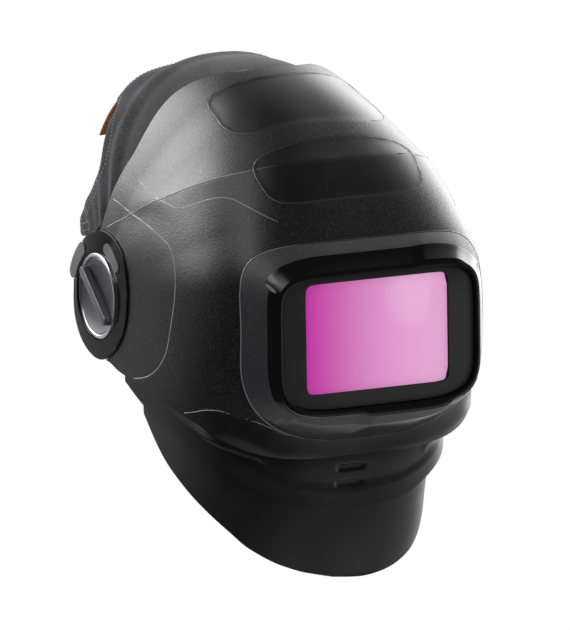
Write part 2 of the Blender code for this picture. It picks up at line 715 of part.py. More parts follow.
def make_bezel(word, side):
    """Plate round the knob that follows the shell's surface, with pockets for two pads."""
    bezel = bezel_prism(f"pivot_bezel_{word}", side, 0, SEAT_FACE + GAP, BEYOND, "gloss_black")
    boolean(bezel, fan_solid(f"bezel_skin_{word}", SHELL_ROWS, SHELL_HALF, BEZEL_PROUD), "INTERSECT")
    bore_r, reach = KNOB_R + RUN, BEYOND - SHELL_HALF
    profile = [(0, -reach), (bore_r, -reach), (bore_r, reach), (0, reach)]
    boolean(bezel, turned(f"knob_bore_{word}", profile, knob_matrix(side)))
    for end, middle, out in (("front", FRONT_PAD_ANGLE, 0), ("rear", REAR_PAD_ANGLE, REAR_PAD_OUT)):
        place = (PAD_INNER, PAD_OUTER + out, middle, PAD_HALF_ANGLE)
        pocket_span = span(side, PAD_LOW - PAD_TRAVEL - GAP, BEYOND)
        boolean(bezel, prism(f"{end}_pocket_{word}", capsule_arc(*place, GAP), "X", *pocket_span))
        pad_span = span(side, PAD_LOW, BEYOND)
        pad = prism(f"{end}_pad_{word}", capsule_arc(*place, 0), "X", *pad_span, "grey")
        skin = fan_solid(f"{end}_pad_skin_{word}", SHELL_ROWS, SHELL_HALF, BEZEL_PROUD + PAD_PROUD)
        boolean(pad, skin, "INTERSECT")


# ---------------------------------------------------------------- inner visor
VISOR_SIDE = (  # the carrier's outline from the side in front of its round ears: top bar, front, bottom bar
    (-30, 42), (-60, 66), (-88, 88), (-104, 103), (-112, 108), (-180, 108), (-185, 0),
    (-180, -94), (-128, -94), (-112, -82), (-85, -66), (-50, -46), (-20, -30),
)
SIGHT_SIDE = (  # what the visor is looked through
    (-46, 8), (-50, 20), (-62, 36), (-84, 52), (-108, 59.5), (-190, 61.5), (-190, -78), (-132, -77),
    (-104, -62), (-70, -40), (-50, -18),
)


def ear_side():
    arc = [math.radians(-90 + 15 * i) for i in range(13)]
    rounded = [(EAR_R * math.cos(t), EAR_R * math.sin(t)) for t in arc]
    return rounded + scaled(VISOR_SIDE)


def grown(points, by):
    """Outline with every point moved away from its middle by about this much."""
    middle = Vector((sum(p[0] for p in points), sum(p[1] for p in points))) / len(points)
    moved = []
    for p in points:
        away = Vector(p) - middle
        moved.append(tuple(middle + away * (1 + by / away.length)))
    return moved


def visor_patch(name, out, wall, keep, sight, finish):
    patch = fan_solid(name, VISOR_ROWS, VISOR_HALF, out, finish)
    boolean(patch, prism(f"{name}_side", keep, "X", -DEEP, DEEP), "INTERSECT")
    boolean(patch, fan_solid(f"{name}_hollow", VISOR_ROWS, VISOR_HALF, out - wall))
    if sight:
        boolean(patch, prism(f"{name}_sight", sight, "X", -DEEP, DEEP))
    return patch


def make_visor():
    sight = scaled(SIGHT_SIDE)
    frame = visor_patch("visor_frame", 0, FRAME_WALL, ear_side(), sight, "matt_black")
    for word, side in SIDES.items():
        boolean(frame, rod(f"ear_hole_{word}", BOLT_R + RUN, *span(side, ARM_INNER, BEYOND)))
    under = -FRAME_WALL - GAP
    visor_patch("clear_visor", under, VISOR_WALL, grown(sight, 5 * MM), None, "clear")
    behind = under - VISOR_WALL - GAP
    visor_patch("visor_seal", behind, SEAL_WALL, grown(sight, 5 * MM), grown(sight, -4 * MM), "rubber")


def bib_point(rows, turn, z, inset=0.0):
    """Point of the chin or throat surface at an angle from the front and a height, or inside it."""
    height = z / MM
    c, s = square_circle(math.radians(turn), smooth(rows, height, 3))
    half = VISOR_HALF - smooth(rows, height) * MM - inset
    reach = smooth(rows, height, 2) * MM - inset
    return Vector((half * s, -reach * c, z))


def bib(name, rows, top, edge, columns, wall, hang, finish, seated=False):
    """Curved sheet round the chin between two edges, which hangs lower on the wearer's left.

    A seated sheet's top edge flares out to lie inside the chin cover.
    """
    grid = []
    for j in range(BIB_STEPS + 1):
        row = []
        for i in range(-columns, columns + 1):
            turn = i * BIB_TURN
            high, low = smooth(top, abs(turn)) * MM, smooth(edge, abs(turn)) * MM
            low -= hang * math.sin(math.radians(2 * turn))
            z = high + (low - high) * j / BIB_STEPS
            flared = seated and j == 0
            inset = CHIN_WALL + GAP + FACET if flared else 0
            row.append(bib_point(CHIN_ROWS if flared else rows, turn, z, inset))
        grid.append(row[::-1])
    return sheet(name, grid, wall, finish)


def make_chin():
    chin = bib(
        "chin_cover", CHIN_ROWS, CHIN_TOP, CHIN_EDGE, CHIN_COLUMNS, CHIN_WALL, CHIN_HANG, "matt_black"
    )
    for z in SLOT_HEIGHTS:
        low = (-SLOT_HALF_X, SLOT_FRONT, z - SLOT_HALF_Z)
        high = (SLOT_HALF_X, SLOT_BACK, z + SLOT_HALF_Z)
        boolean(chin, block(f"vent_slot_{round(-z / MM)}", low, high))
    bib(
        "throat_guard", GUARD_ROWS, GUARD_TOP, GUARD_EDGE, GUARD_COLUMNS, GUARD_WALL, GUARD_HANG, "rubber",
        seated=True,
    )
    turns = [i * BIB_TURN for i in range(-SEAL_COLUMNS, SEAL_COLUMNS + 1)]
    rows = [
        [bib_point(CHIN_ROWS, t, (smooth(SEAL_LINE, abs(t)) + rise) * MM, inset) for t in turns]
        for inset, rise in SEAL_ROWS
    ]
    sheet("face_seal", rows, CLOTH, "cloth")


# ---------------------------------------------------------------- harness
def head_point(turn, grow, z):
    """Point on the headband's line at an angle from the front."""
    c, s = square_circle(math.radians(turn), HEAD_CORNERS)
    reach = (HEAD_CENTRE_Y - HEAD_FRONT) if c > 0 else (HEAD_BACK - HEAD_CENTRE_Y)
    return Vector(((HEAD_HALF_X + grow) * s, HEAD_CENTRE_Y - (reach + grow) * c, z))


def head_band(name, start, end, steps, height, grow, wall, heights, finish):
    """Strip round the head between two angles. heights is a table of angle and middle height."""
    sections = []
    for i in range(steps + 1):
        turn = start + (end - start) * i / steps
        z = smooth(heights, abs(turn if turn <= 180 else 360 - turn))
        section = [
            head_point(turn, grow + side * wall, z + up * height / 2)
            for side, up in ((0, -1), (1, -1), (1, 1), (0, 1))
        ]
        sections.append(section)
    return sweep(name, sections, finish)


BAND_LINE = ((0, BROW_Z), (40, BROW_Z - 3 * MM), (100, TEMPLE_Z), (120, TEMPLE_Z - 7 * MM))
NAPE_LINE = (
    (94, TEMPLE_Z), (104, TEMPLE_Z - 2 * MM), (120, TEMPLE_Z - 8 * MM), (150, NAPE_Z + 8 * MM), (180, NAPE_Z)
)


def make_headband():
    head_band("headband_front", -BAND_END, BAND_END, 34, BAND_HEIGHT, 0, BAND_WALL, BAND_LINE, "matt_black")
    head_band(
        "brow_pad", -BROW_PAD_END, BROW_PAD_END, 14, BAND_HEIGHT + BROW_PAD_OVER, -BROW_PAD - GAP, BROW_PAD,
        BAND_LINE, "cloth",
    )
    for word, y in CROWN_STRAPS.items():
        front, rear = y - STRAP_WIDTH / 2, y + STRAP_WIDTH / 2
        sections = []
        for i in range(STRAP_STEPS + 1):
            turn = math.pi * i / STRAP_STEPS
            corners = ((front, 0), (front, STRAP_WALL), (rear, STRAP_WALL), (rear, 0))
            sections.append([strap_point(turn, at, grow) for at, grow in corners])
        sweep(f"crown_strap_{word}", sections, "matt_black")


def strap_point(turn, y, grow):
    """Point of a strap over the crown that stands on the headband's top edge."""
    band = min(range(BAND_END), key=lambda angle: abs(head_point(angle, 0, 0).y - y))
    base = smooth(BAND_LINE, band) + BAND_HEIGHT / 2 + GAP
    return Vector((
        (HEAD_HALF_X + grow) * math.cos(turn), y, base + (CROWN_TOP + grow - base) * math.sin(turn)
    ))


ARM_SIDE = (  # outline of the plate that carries the pivot on the headband
    (-34, 30), (-34, 50), (32, 42), (32, 14), (22, 4), (16, -10), (6, -16), (-6, -16), (-16, -8), (-22, 8),
)


def make_arm(word, side):
    arm = prism(
        f"side_arm_{word}", scaled(ARM_SIDE), "X", *span(side, ARM_INNER + GAP, ARM_INNER + ARM_WALL),
        "matt_black",
    )
    hub = rod(f"hub_{word}", HUB_R, *span(side, ARM_INNER + ARM_WALL - MM, HUB_OUTER))
    boolean(arm, hub, "UNION")
    socket = rod(f"hub_socket_{word}", BOLT_R + GAP, *span(side, ARM_INNER + 4 * MM, HUB_OUTER + MM))
    boolean(arm, socket)
    bolt_start = ARM_INNER + 4 * MM + GAP
    rod(f"pivot_bolt_{word}", BOLT_R, *span(side, bolt_start, BOLT_END), finish="steel", segments=28)


def make_cradle():
    """Rear of the headband, which the ratchet draws forward."""
    inside = -STRAP_WALL - RUN
    head_band(
        "rear_strap", REAR_STRAP_START, 360 - REAR_STRAP_START, 26, REAR_STRAP_WIDTH, inside, STRAP_WALL,
        NAPE_LINE, "matt_black",
    )
    head_band(
        "nape_pad", 180 - NAPE_PAD_HALF, 180 + NAPE_PAD_HALF, 10, REAR_STRAP_WIDTH + NAPE_PAD_OVER,
        inside - GAP - NAPE_PAD, NAPE_PAD, NAPE_LINE, "cloth",
    )
    strap_back = HEAD_BACK + inside + STRAP_WALL
    half_x, depth, half_z = RATCHET_BODY
    low = (-half_x, strap_back + GAP, NAPE_Z - half_z)
    high = (half_x, strap_back + GAP + depth, NAPE_Z + half_z)
    housing = block("ratchet_housing", low, high, "matt_black")
    bevel(housing, HOUSING_EDGE)
    knob_at = high[1] + GAP
    place = Matrix.Translation((0, knob_at, NAPE_Z)) @ Matrix.Rotation(-math.pi / 2, 4, "X")
    face, end = RATCHET_R - RATCHET_EDGE, RATCHET_LENGTH
    profile = [
        (0, 0), (face, 0), (RATCHET_R, RATCHET_EDGE), (RATCHET_R, end - RATCHET_EDGE), (face, end), (0, end),
    ]
    turned("ratchet_knob", profile, place, "rubber", 32)


# ---------------------------------------------------------------- air path
def arc_sections(half_x, inner, outer, start, end, steps):
    """Rectangles across an arc about the pivot axis."""
    corners = [(-half_x, inner), (half_x, inner), (half_x, outer), (-half_x, outer)]
    made = []
    for i in range(steps + 1):
        turn = math.radians(start + (end - start) * i / steps)
        made.append([Vector((x, -r * math.cos(turn), r * math.sin(turn))) for x, r in corners])
    return made


def make_rear_duct():
    """Duct behind the head, seated on the cloth dome, open at both ends."""
    start, end = DUCT_ARC
    duct = sweep(
        "rear_duct", arc_sections(DUCT_HALF_X, DUCT_INNER, DUCT_OUTER, start, end, 14), "gloss_black"
    )
    boolean(duct, ellipsoid("under_duct", COVER_CENTRE, COVER_RADII, GAP))
    bore = sweep("duct_bore", arc_sections(
        DUCT_HALF_X - DUCT_WALL, DUCT_INNER, DUCT_OUTER - DUCT_WALL, start - 3, end + 3, 16
    ))
    boolean(bore, ellipsoid("duct_floor", COVER_CENTRE, COVER_RADII, GAP + DUCT_WALL))
    boolean(duct, bore)
    floor = INLET_TOP + GAP
    boolean(duct, block("duct_end", (-DUCT_OUTER, 0, 0), (DUCT_OUTER, DUCT_OUTER + MM, floor)))


def crown_layer(name, half_x, front, rear, high, low, finish=None):
    """Slab between two depths under the cloth dome, over the crown of the head."""
    slab = ellipsoid(name, COVER_CENTRE, COVER_RADII, high, finish)
    boolean(slab, block(f"{name}_keep", (-half_x, front, CROWN_LAYER_LOW), (half_x, rear, DEEP)), "INTERSECT")
    boolean(slab, ellipsoid(f"{name}_under", COVER_CENTRE, COVER_RADII, low))
    return slab


def make_crown_duct():
    """Flat duct over the crown that blows down behind the brow, with a flap at its mouth."""
    top = -CLOTH - GAP
    low = top - CROWN_DUCT_HEIGHT
    duct = crown_layer(
        "crown_duct", CROWN_DUCT_HALF, CROWN_DUCT_FRONT, CROWN_DUCT_REAR, top, low, "matt_black"
    )
    wall = CROWN_DUCT_WALL
    bore = crown_layer(
        "crown_bore", CROWN_DUCT_HALF - wall, CROWN_DUCT_FRONT - PAST_END, CROWN_DUCT_REAR + PAST_END,
        top - wall, low + wall,
    )
    boolean(duct, bore)


def flap_place():
    """Middle of the flap's hinge line, in front of the crown duct's mouth."""
    y = CROWN_DUCT_FRONT - FLAP_PIN_R - RUN
    centre, radii = Vector(COVER_CENTRE), Vector(COVER_RADII)
    depth = CLOTH + GAP + CROWN_DUCT_HEIGHT / 2
    share = 1 - ((y - centre.y) / (radii.y - depth)) ** 2
    return Vector((0, y, centre.z + (radii.z - depth) * math.sqrt(share)))


def make_deflector():
    """Flap on a cross pin that sends the air to the visor or to the face."""
    width, length, wall = FLAP_SIZE
    pin = rod("air_deflector", FLAP_PIN_R, -width / 2, width / 2, finish="grey", segments=16)
    half = width / 2 - FLAP_SIDE
    blade = block("flap_blade", (-half, -length, -wall / 2), (half, 0, wall / 2))
    boolean(pin, blade, "UNION")
    for obj in (pin, blade):
        obj.location = flap_place()
        obj.rotation_euler = (FLAP_TILT, 0, 0)


def make_rear_patch():
    start, half = DUCT_ARC[0], DUCT_HALF_X + PATCH_OVER
    inner = DUCT_OUTER + GAP
    shape = ring_sector(inner, inner + PATCH_WALL, start, start + PATCH_ARC)
    prism("rear_patch", shape, "X", -half, half, "tan")


def make_inlet():
    """Socket under the rear duct, a seal and the swivel that a breathing tube pushes onto."""
    low = INLET_TOP - INLET_LENGTH
    place = Matrix.Translation((0, INLET_Y, 0))
    socket = [(INLET_BORE, low), (INLET_R, low), (INLET_R, INLET_TOP), (INLET_BORE, INLET_TOP)]
    turned("inlet_socket", socket, place, "matt_black", 32)
    seal_top = low - GAP
    seal_low = seal_top - SEAL_HEIGHT
    seal = [
        (INLET_BORE, seal_low), (INLET_R - MM, seal_low), (INLET_R - MM, seal_top), (INLET_BORE, seal_top)
    ]
    turned("inlet_seal", seal, place, "rubber", 32)
    top = seal_low - GAP
    end = top - SWIVEL_LENGTH
    narrow, step = INLET_R - SWIVEL_STEP, top - SWIVEL_COLLAR
    swivel = [
        (INLET_BORE, end), (narrow, end), (narrow, step), (INLET_R, step), (INLET_R, top), (INLET_BORE, top)
    ]
    turned("inlet_swivel", swivel, place, "gloss_black", 32)


# ---------------------------------------------------------------- soft cover
COVER_SIDE = (  # what the cloth dome covers, from the side
    (-46, 175), (-46, 128), (-36, 96), (-8, 62), (26, 52), (44, 36), (52, 8), (62, -6), (90, -8),
    (140, -8), (160, 60), (140, 175),
)
BAND_SIDE = (  # the leather strip over it, from the side
    (-58, 175), (-56, 128), (-44, 96), (-30, 74), (-12, 59), (8, 47), (26, 37), (42, 33), (47, 42),
    (42, 56), (36, 68), (38, 82), (52, 100), (66, 110), (75, 115), (76, 118), (73, 121), (74, 126),
    (74, 175),
)


def make_cover():
    cover = ellipsoid("head_cover", COVER_CENTRE, COVER_RADII, 0, "cloth")
    boolean(cover, prism("cover_side", scaled(COVER_SIDE), "X", -DEEP, DEEP), "INTERSECT")
    boolean(cover, ellipsoid("cover_hollow", COVER_CENTRE, COVER_RADII, -CLOTH))
    band = fan_solid("leather_band", BAND_ROWS, BAND_HALF, 0, "leather")
    boolean(band, prism("band_side", scaled(BAND_SIDE), "X", -DEEP, DEEP), "INTERSECT")
    boolean(band, fan_solid("band_hollow", BAND_ROWS, BAND_HALF, -LEATHER))


# ---------------------------------------------------------------- build
def build():
    window = window_empty()
    bpy.context.view_layer.update()
    make_shell(window)
    make_front_frame(window)
    make_filter(window)
    for word, side in SIDES.items():
        make_bezel(word, side)
        make_knob(word, side)
        make_arm(word, side)
    make_visor()
    make_chin()
    make_headband()
    make_cradle()
    make_rear_duct()
    make_crown_duct()
    make_deflector()
    make_rear_patch()
    make_inlet()
    make_cover()


build()
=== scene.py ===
# %% [markdown]
# # A welding headtop with an air supply
#
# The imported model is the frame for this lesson: its solids have the true sizes, places and joints. This
# script gives each of them its surface. Smooth shells, cloth and leather are modelled again around the
# frame, and the small hidden parts keep their solid and get a finish.

# %% Load the frame
import json
import math

import bpy
import numpy as np
from mathutils import Matrix, Vector
from mathutils.kdtree import KDTree


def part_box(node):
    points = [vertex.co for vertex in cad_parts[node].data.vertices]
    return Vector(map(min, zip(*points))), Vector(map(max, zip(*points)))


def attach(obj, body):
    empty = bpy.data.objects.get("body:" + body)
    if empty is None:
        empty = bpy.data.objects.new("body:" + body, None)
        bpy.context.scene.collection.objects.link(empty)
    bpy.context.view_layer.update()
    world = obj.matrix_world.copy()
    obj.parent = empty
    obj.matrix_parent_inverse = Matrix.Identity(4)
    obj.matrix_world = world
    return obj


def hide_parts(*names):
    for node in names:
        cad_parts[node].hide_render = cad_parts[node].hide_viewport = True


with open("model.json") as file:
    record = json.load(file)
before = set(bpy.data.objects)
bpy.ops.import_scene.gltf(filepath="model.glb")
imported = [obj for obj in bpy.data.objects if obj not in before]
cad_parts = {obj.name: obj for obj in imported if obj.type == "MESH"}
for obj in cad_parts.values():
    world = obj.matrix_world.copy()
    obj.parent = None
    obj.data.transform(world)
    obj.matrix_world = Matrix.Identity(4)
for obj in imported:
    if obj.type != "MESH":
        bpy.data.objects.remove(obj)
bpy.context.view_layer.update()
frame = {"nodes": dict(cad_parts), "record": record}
nodes = frame["nodes"]
bodies = frame["record"]["behaviour"]["bodies"]
body_of_node = {node: body for body, members in bodies.items() for node in members}
MM = 0.001

# %% [markdown]
# Shader maths is easier to read as sums than as a web of nodes. `Value` wraps a node's output, so that a
# plus or a times sign between two of them adds the Math node by itself. Only the operators that the
# finishes use are there.


# %% Sums of node values
class Value:
    """A number that comes out of a node."""

    def __init__(self, finish, socket):
        self.finish, self.socket = finish, socket

    def math(self, operation, *others):
        settings = {"operation": operation}
        return self.finish.node("ShaderNodeMath", settings, dict(enumerate((self, *others))))

    def __add__(self, other):
        return self.math("ADD", other)

    def __sub__(self, other):
        return self.math("SUBTRACT", other)

    def __rsub__(self, other):
        return (self * -1).math("ADD", other)

    def __mul__(self, other):
        return self.math("MULTIPLY", other)

    def __pow__(self, other):
        return self.math("POWER", other)

    __radd__, __rmul__ = __add__, __mul__

    def step(self, low, high):
        """0 below one value and 1 above another, with a soft ramp between them."""
        settings = {"interpolation_type": "SMOOTHSTEP"}
        places = {"Value": self, "From Min": low, "From Max": high, "To Min": 0.0, "To Max": 1.0}
        return self.finish.node("ShaderNodeMapRange", settings, places)


print("node values can be added and multiplied")

# %% [markdown]
# `Finish` is one material. A real surface is never quite even, so its patterns come from noise and waves
# whose sizes are given in millimetres on the piece itself. Its `node` method adds any node that the shorter
# methods don't cover.


# %% A finish
class Finish:
    """One node material. Plain numbers go on the shader's own sockets."""

    def __init__(self, name, color=(0.5, 0.5, 0.5), roughness=0.5, **plain):
        self.material = bpy.data.materials.new(name)
        self.material.use_nodes = True
        self.tree = self.material.node_tree
        self.shader = self.tree.nodes["Principled BSDF"]
        self.set("Base Color", (*color, 1))
        self.set("Roughness", roughness)
        for word, value in plain.items():
            self.set(word.replace("_", " ").title().replace("Ior", "IOR"), value)

    def put(self, socket, value):
        """Links a node's value to a socket, or writes a plain number or colour on it."""
        if isinstance(value, Value):
            self.tree.links.new(value.socket, socket)
        elif isinstance(value, tuple) and len(value) == 3 and socket.type == "RGBA":
            socket.default_value = (*value, 1)
        else:
            socket.default_value = value

    def set(self, name, value):
        """Puts a value on one of the shader's sockets."""
        self.put(self.shader.inputs[name], value)

    def node(self, kind, settings=None, sockets=None, out=0):
        """Adds a node of this kind and returns one of its outputs."""
        made = self.tree.nodes.new(kind)
        for word, value in (settings or {}).items():
            setattr(made, word, value)
        for place, value in (sockets or {}).items():
            self.put(made.inputs[place], value)
        return Value(self, made.outputs[out])

    def place(self, size=(1, 1, 1)):
        """Object coordinates in metres, stretched."""
        spot = self.node("ShaderNodeTexCoord", out="Object")
        return self.node("ShaderNodeMapping", {}, {"Vector": spot, "Scale": size})

    def noise(self, millimetres, detail=2.0, where=None):
        """Noise from 0 to 1 with features of about this size."""
        sockets = {"Vector": where or self.place(), "Scale": 1 / (millimetres * MM), "Detail": detail}
        return self.node("ShaderNodeTexNoise", {}, sockets)

    def wave(self, millimetres, direction, where=None):
        """Sine from 0 to 1 that repeats at this pitch."""
        settings = {"wave_type": "BANDS", "bands_direction": direction}
        scale = 2 * math.pi / (20 * millimetres * MM)
        return self.node("ShaderNodeTexWave", settings, {"Vector": where or self.place(), "Scale": scale}, 1)

    def axis(self, letter):
        """One of the object coordinates, in metres."""
        return self.node("ShaderNodeSeparateXYZ", {}, {0: self.place()}, letter)

    def attribute(self, name):
        """Number that the mesh carries on its points."""
        return self.node("ShaderNodeAttribute", {"attribute_name": name}, out="Fac")

    def mix(self, share, low, high):
        """Colour between two colours."""
        return self.node("ShaderNodeMix", {"data_type": "RGBA"}, {0: share, 6: low, 7: high}, 2)

    def bump(self, height, millimetres, strength=1.0):
        """Raises the surface to the eye by up to this much."""
        sockets = {"Height": height, "Distance": millimetres * MM, "Strength": strength}
        self.set("Normal", self.node("ShaderNodeBump", {}, sockets))


print("finishes can be made")

# %% [markdown]
# **Moulded plastics.** The shield is nylon with fine bright flake in it. It is satin where the light is
# broad, and each flake is a speck of less than a millimetre. Particles would cost millions of faces, so a
# sharp noise picks out the specks in the colour and the roughness, and a finer one lifts the surface a
# little.

# %% The shield's plastic
BLACK = (0.006, 0.006, 0.0065)


def flake_plastic():
    """Satin black with flake. Where the attribute `smooth` is 1 the flake is faint."""
    made = Finish("flake_plastic", roughness=0.4, specular_ior_level=0.5)
    smooth = made.attribute("smooth")
    speck = made.noise(0.62, 1.0).step(0.56, 0.72)
    fine = made.noise(1.7, 3.0)
    cover = 1 - smooth * 0.65
    made.set("Base Color", made.mix(speck * cover * 0.8, BLACK, (0.13, 0.13, 0.134)))
    made.set("Roughness", 0.35 - speck * cover * 0.1 + fine * 0.06 - smooth * 0.04)
    made.bump(made.noise(1.25, 2.0) * cover, 0.16, 1.0)
    return made.material


FLAKE = flake_plastic()
print(FLAKE.name)

# %% [markdown]
# **Trim.** The frame round the window, the bezels and the duct are the same black in a high gloss. The
# frame's flats are etched so that they scatter the light, and the mesh itself says where, by an attribute:
# a border in a picture would have to be fitted to the shape, and this one follows it.


# %% Gloss and etched trim
def gloss_plastic():
    """High gloss with a faint orange peel."""
    made = Finish("gloss_plastic", roughness=0.13, specular_ior_level=0.5)
    mottle = made.noise(9, 3.0)
    made.set("Base Color", made.mix(mottle, (0.0056,) * 3, (0.0098,) * 3))
    made.set("Roughness", 0.13 + mottle * 0.05)
    made.bump(made.noise(5, 1.0), 0.02, 0.4)
    return made.material


def etched_plastic():
    """Gloss black with etched flats, which the attribute `etched` marks."""
    made = Finish("etched_plastic", specular_ior_level=0.45)
    etched = made.attribute("etched").step(0.3, 0.7)
    speck = made.noise(0.7, 2.0).step(0.42, 0.68)
    made.set("Base Color", made.mix(etched * (0.35 + speck * 0.65), BLACK, (0.075, 0.075, 0.078)))
    made.set("Roughness", 0.17 + etched * 0.33)
    made.bump(made.noise(0.6, 2.0) * etched, 0.05, 0.8)
    return made.material


GLOSS, ETCHED = gloss_plastic(), etched_plastic()
print(GLOSS.name, ETCHED.name)

# %% [markdown]
# ** Plain moulded parts.** Straps, housings and pads have a fine grain from the mould and are slightly
# cloudy. One function makes them all from a colour and a roughness. The knobs are lacquered grey inside a
# polished ring, and the moulded edges of the shield get a painted highlight: they are painted lighter at the
# sides.


# %% Plain plastics, the knobs' lacquer and the seams
def matt_plastic(name, color, roughness=0.5, grain=0.7):
    made = Finish(name, roughness=roughness, specular_ior_level=0.4)
    cloudy, fine = made.noise(14, 3.0), made.noise(grain, 2.0)
    darker = tuple(0.75 * c for c in color)
    made.set("Base Color", made.mix(cloudy * 0.6 + fine * 0.4, darker, tuple(1.2 * c for c in color)))
    made.set("Roughness", roughness - 0.06 + cloudy * 0.12)
    made.bump(fine, 0.04, 0.6)
    return made.material


def knob_plastic():
    """Grey lacquer, and a polished metal ring where the attribute `rim` is 1."""
    made = Finish("knob_plastic", specular_ior_level=0.6)
    rim = made.attribute("rim").step(0.4, 0.6)
    fine = made.noise(0.9, 2.0)
    grey = made.mix(fine, (0.10, 0.10, 0.105), (0.15, 0.15, 0.155))
    made.set("Base Color", made.mix(rim, grey, (0.62, 0.62, 0.63)))
    made.set("Metallic", 0.55 + rim * 0.45)
    made.set("Roughness", 0.36 - rim * 0.14 + fine * 0.05)
    return made.material


def seam_plastic_painted_highlight():
    """Moulded edge, painted lighter where the attribute `light` is 1, as a painted highlight."""
    made = Finish("seam_plastic_painted_highlight", roughness=0.35, specular_ior_level=0.5)
    made.set("Base Color", made.mix(made.attribute("light"), (0.07, 0.07, 0.072), (0.55, 0.55, 0.56)))
    return made.material


MATT = matt_plastic("matt_plastic", (0.013, 0.013, 0.0135), 0.52)
SATIN = matt_plastic("satin_plastic", (0.014, 0.014, 0.0145), 0.4)
GREY = matt_plastic("grey_plastic", (0.1, 0.1, 0.104), 0.42)
PAD = matt_plastic("pad_plastic", (0.15, 0.15, 0.153), 0.5, 1.1)
KEYS = matt_plastic("key_rubber", (0.05, 0.05, 0.052), 0.55)
KNOB, SEAM = knob_plastic(), seam_plastic_painted_highlight()
print(len(bpy.data.materials), "materials so far")

# %% [markdown]
# **Soft goods.** The throat guard is moulded from a smooth rubbery sheet. The head cover is a plain weave,
# and the strip between it and the shield is split leather with a nap. A weave could be modelled thread by
# thread, but at this scale two crossed waves in the bump read the same and weigh nothing.


# %% Soft finishes
def rubber():
    """Smooth rubbery sheet, faintly cloudy."""
    made = Finish("rubber", roughness=0.5, specular_ior_level=0.42)
    cloudy, fine = made.noise(30, 2.0), made.noise(0.5, 2.0)
    made.set("Base Color", made.mix(cloudy, (0.0096,) * 3, (0.0156,) * 3))
    made.set("Roughness", 0.45 + cloudy * 0.1)
    made.bump(fine, 0.02, 0.5)
    return made.material


def weave(name, dark, light, pitch=0.9):
    """Plain weave: two sets of threads that pass over and under each other."""
    made = Finish(name, roughness=0.92, sheen_weight=0.25, sheen_roughness=0.4, specular_ior_level=0.2)
    where = made.place()
    warp, weft = made.wave(pitch, "X", where), made.wave(pitch, "Z", where)
    over = (warp - weft).step(-0.2, 0.2)
    thread = over * warp + (1 - over) * weft
    made.set("Base Color", made.mix(thread * 0.6 + made.noise(22, 4.0) * 0.4, dark, light))
    made.bump(thread + made.noise(4, 2.0) * 0.5, 0.12, 0.7)
    return made.material


def split_leather(name, dark, light):
    made = Finish(name, roughness=0.88, sheen_weight=0.3, sheen_roughness=0.5, specular_ior_level=0.22)
    nap, pore, broad = made.noise(1.1, 4.0), made.noise(0.45, 2.0), made.noise(26, 4.0)
    made.set("Base Color", made.mix((nap * 0.6 + broad * 0.4).step(0.38, 0.64), dark, light))
    made.set("Roughness", 0.82 + pore * 0.14)
    made.bump(nap * 0.7 + pore * 0.3, 0.3, 0.9)
    return made.material


def thread():
    made = Finish("thread", roughness=0.7, sheen_weight=0.2)
    twist = made.noise(0.4, 2.0)
    made.set("Base Color", made.mix(twist, (0.3, 0.3, 0.305), (0.62, 0.62, 0.63)))
    made.bump(twist, 0.08)
    return made.material


RUBBER, THREAD = rubber(), thread()
LEATHER = split_leather("grey_leather", (0.022, 0.022, 0.023), (0.092, 0.092, 0.094))
TAN = split_leather("tan_leather", (0.62, 0.25, 0.09), (0.92, 0.47, 0.22))
CLOTH = weave("cover_cloth", (0.010, 0.010, 0.011), (0.05, 0.05, 0.052))
FOAM = weave("pad_cloth", (0.014, 0.014, 0.015), (0.045, 0.045, 0.047), 0.7)
print(len(bpy.data.materials), "materials so far")

# %% [markdown]
# ** Optics.** The filter has an interference coating: it is deep magenta where one looks at the dark room in
# it and pale pink where it mirrors a lamp. A real thin film would change with every angle, so the two
# colours are painted across the glass instead, as a painted reflection, with a painted highlight and the
# painted edge of a mirrored lamp, and the glass glows a little though it is no lamp. The border of the
# plate in front of it is printed black, and the plate is clear only over the filter.


# %% The filter and its cover plate
def filter_coating_and_painted_reflection(centre, half_x):
    """Magenta of the coating with a painted reflection that pales across the glass, a painted highlight and
    the painted straight edge of a mirrored lamp near its end; the glass also glows a little.
    """
    made = Finish("filter_coating_and_painted_reflection", roughness=0.3, specular_ior_level=0.3)
    x = made.axis("X") * (1 / half_x)
    z = (made.axis("Z") - centre[2]) * (1 / half_x)
    # painted reflection: the magenta pales towards the end of the glass that mirrors a lamp
    pale = x.step(-1.15, 0.75)
    # painted highlight: a soft bright patch near that end
    glow = (1 - ((x - 0.55) ** 2 * 5 + (z - 0.45) ** 2 * 4)).math("MAXIMUM", 0.0)
    # painted reflection: the straight edge of a mirrored lamp
    lamp = (x - z * 0.16).step(0.712, 0.722)
    body = made.mix(pale ** 0.8, (0.6, 0.018, 0.39), (0.9, 0.42, 0.74))
    lit = made.mix((1 - lamp) * glow * 0.45, body, (0.95, 0.62, 0.85))
    color = made.mix(lamp * 0.35, lit, (0.87, 0.47, 0.73))
    made.set("Base Color", color)
    # the glass glows with its painted colour, though it is no lamp
    made.set("Emission Color", color)
    made.set("Emission Strength", 0.62)
    return made.material


def printed_plate(centre, half_x, half_z):
    """Clear in the middle and printed black round it."""
    made = Finish("printed_plate", roughness=0.24, specular_ior_level=0.5)
    x = made.axis("X").math("ABSOLUTE") * (1 / half_x)
    z = (made.axis("Z") - centre[2]).math("ABSOLUTE") * (1 / half_z)
    border = (x ** 18 + z ** 18).step(0.94, 1.06)
    mottle = made.noise(20, 2.0)
    made.set("Base Color", made.mix(mottle, (0.034, 0.034, 0.035), (0.046, 0.046, 0.047)))
    made.set("Roughness", 0.3 + mottle * 0.08)
    made.set("Alpha", 0.03 + border * 0.97)
    return made.material


print("optics can be made when the window's place is known")

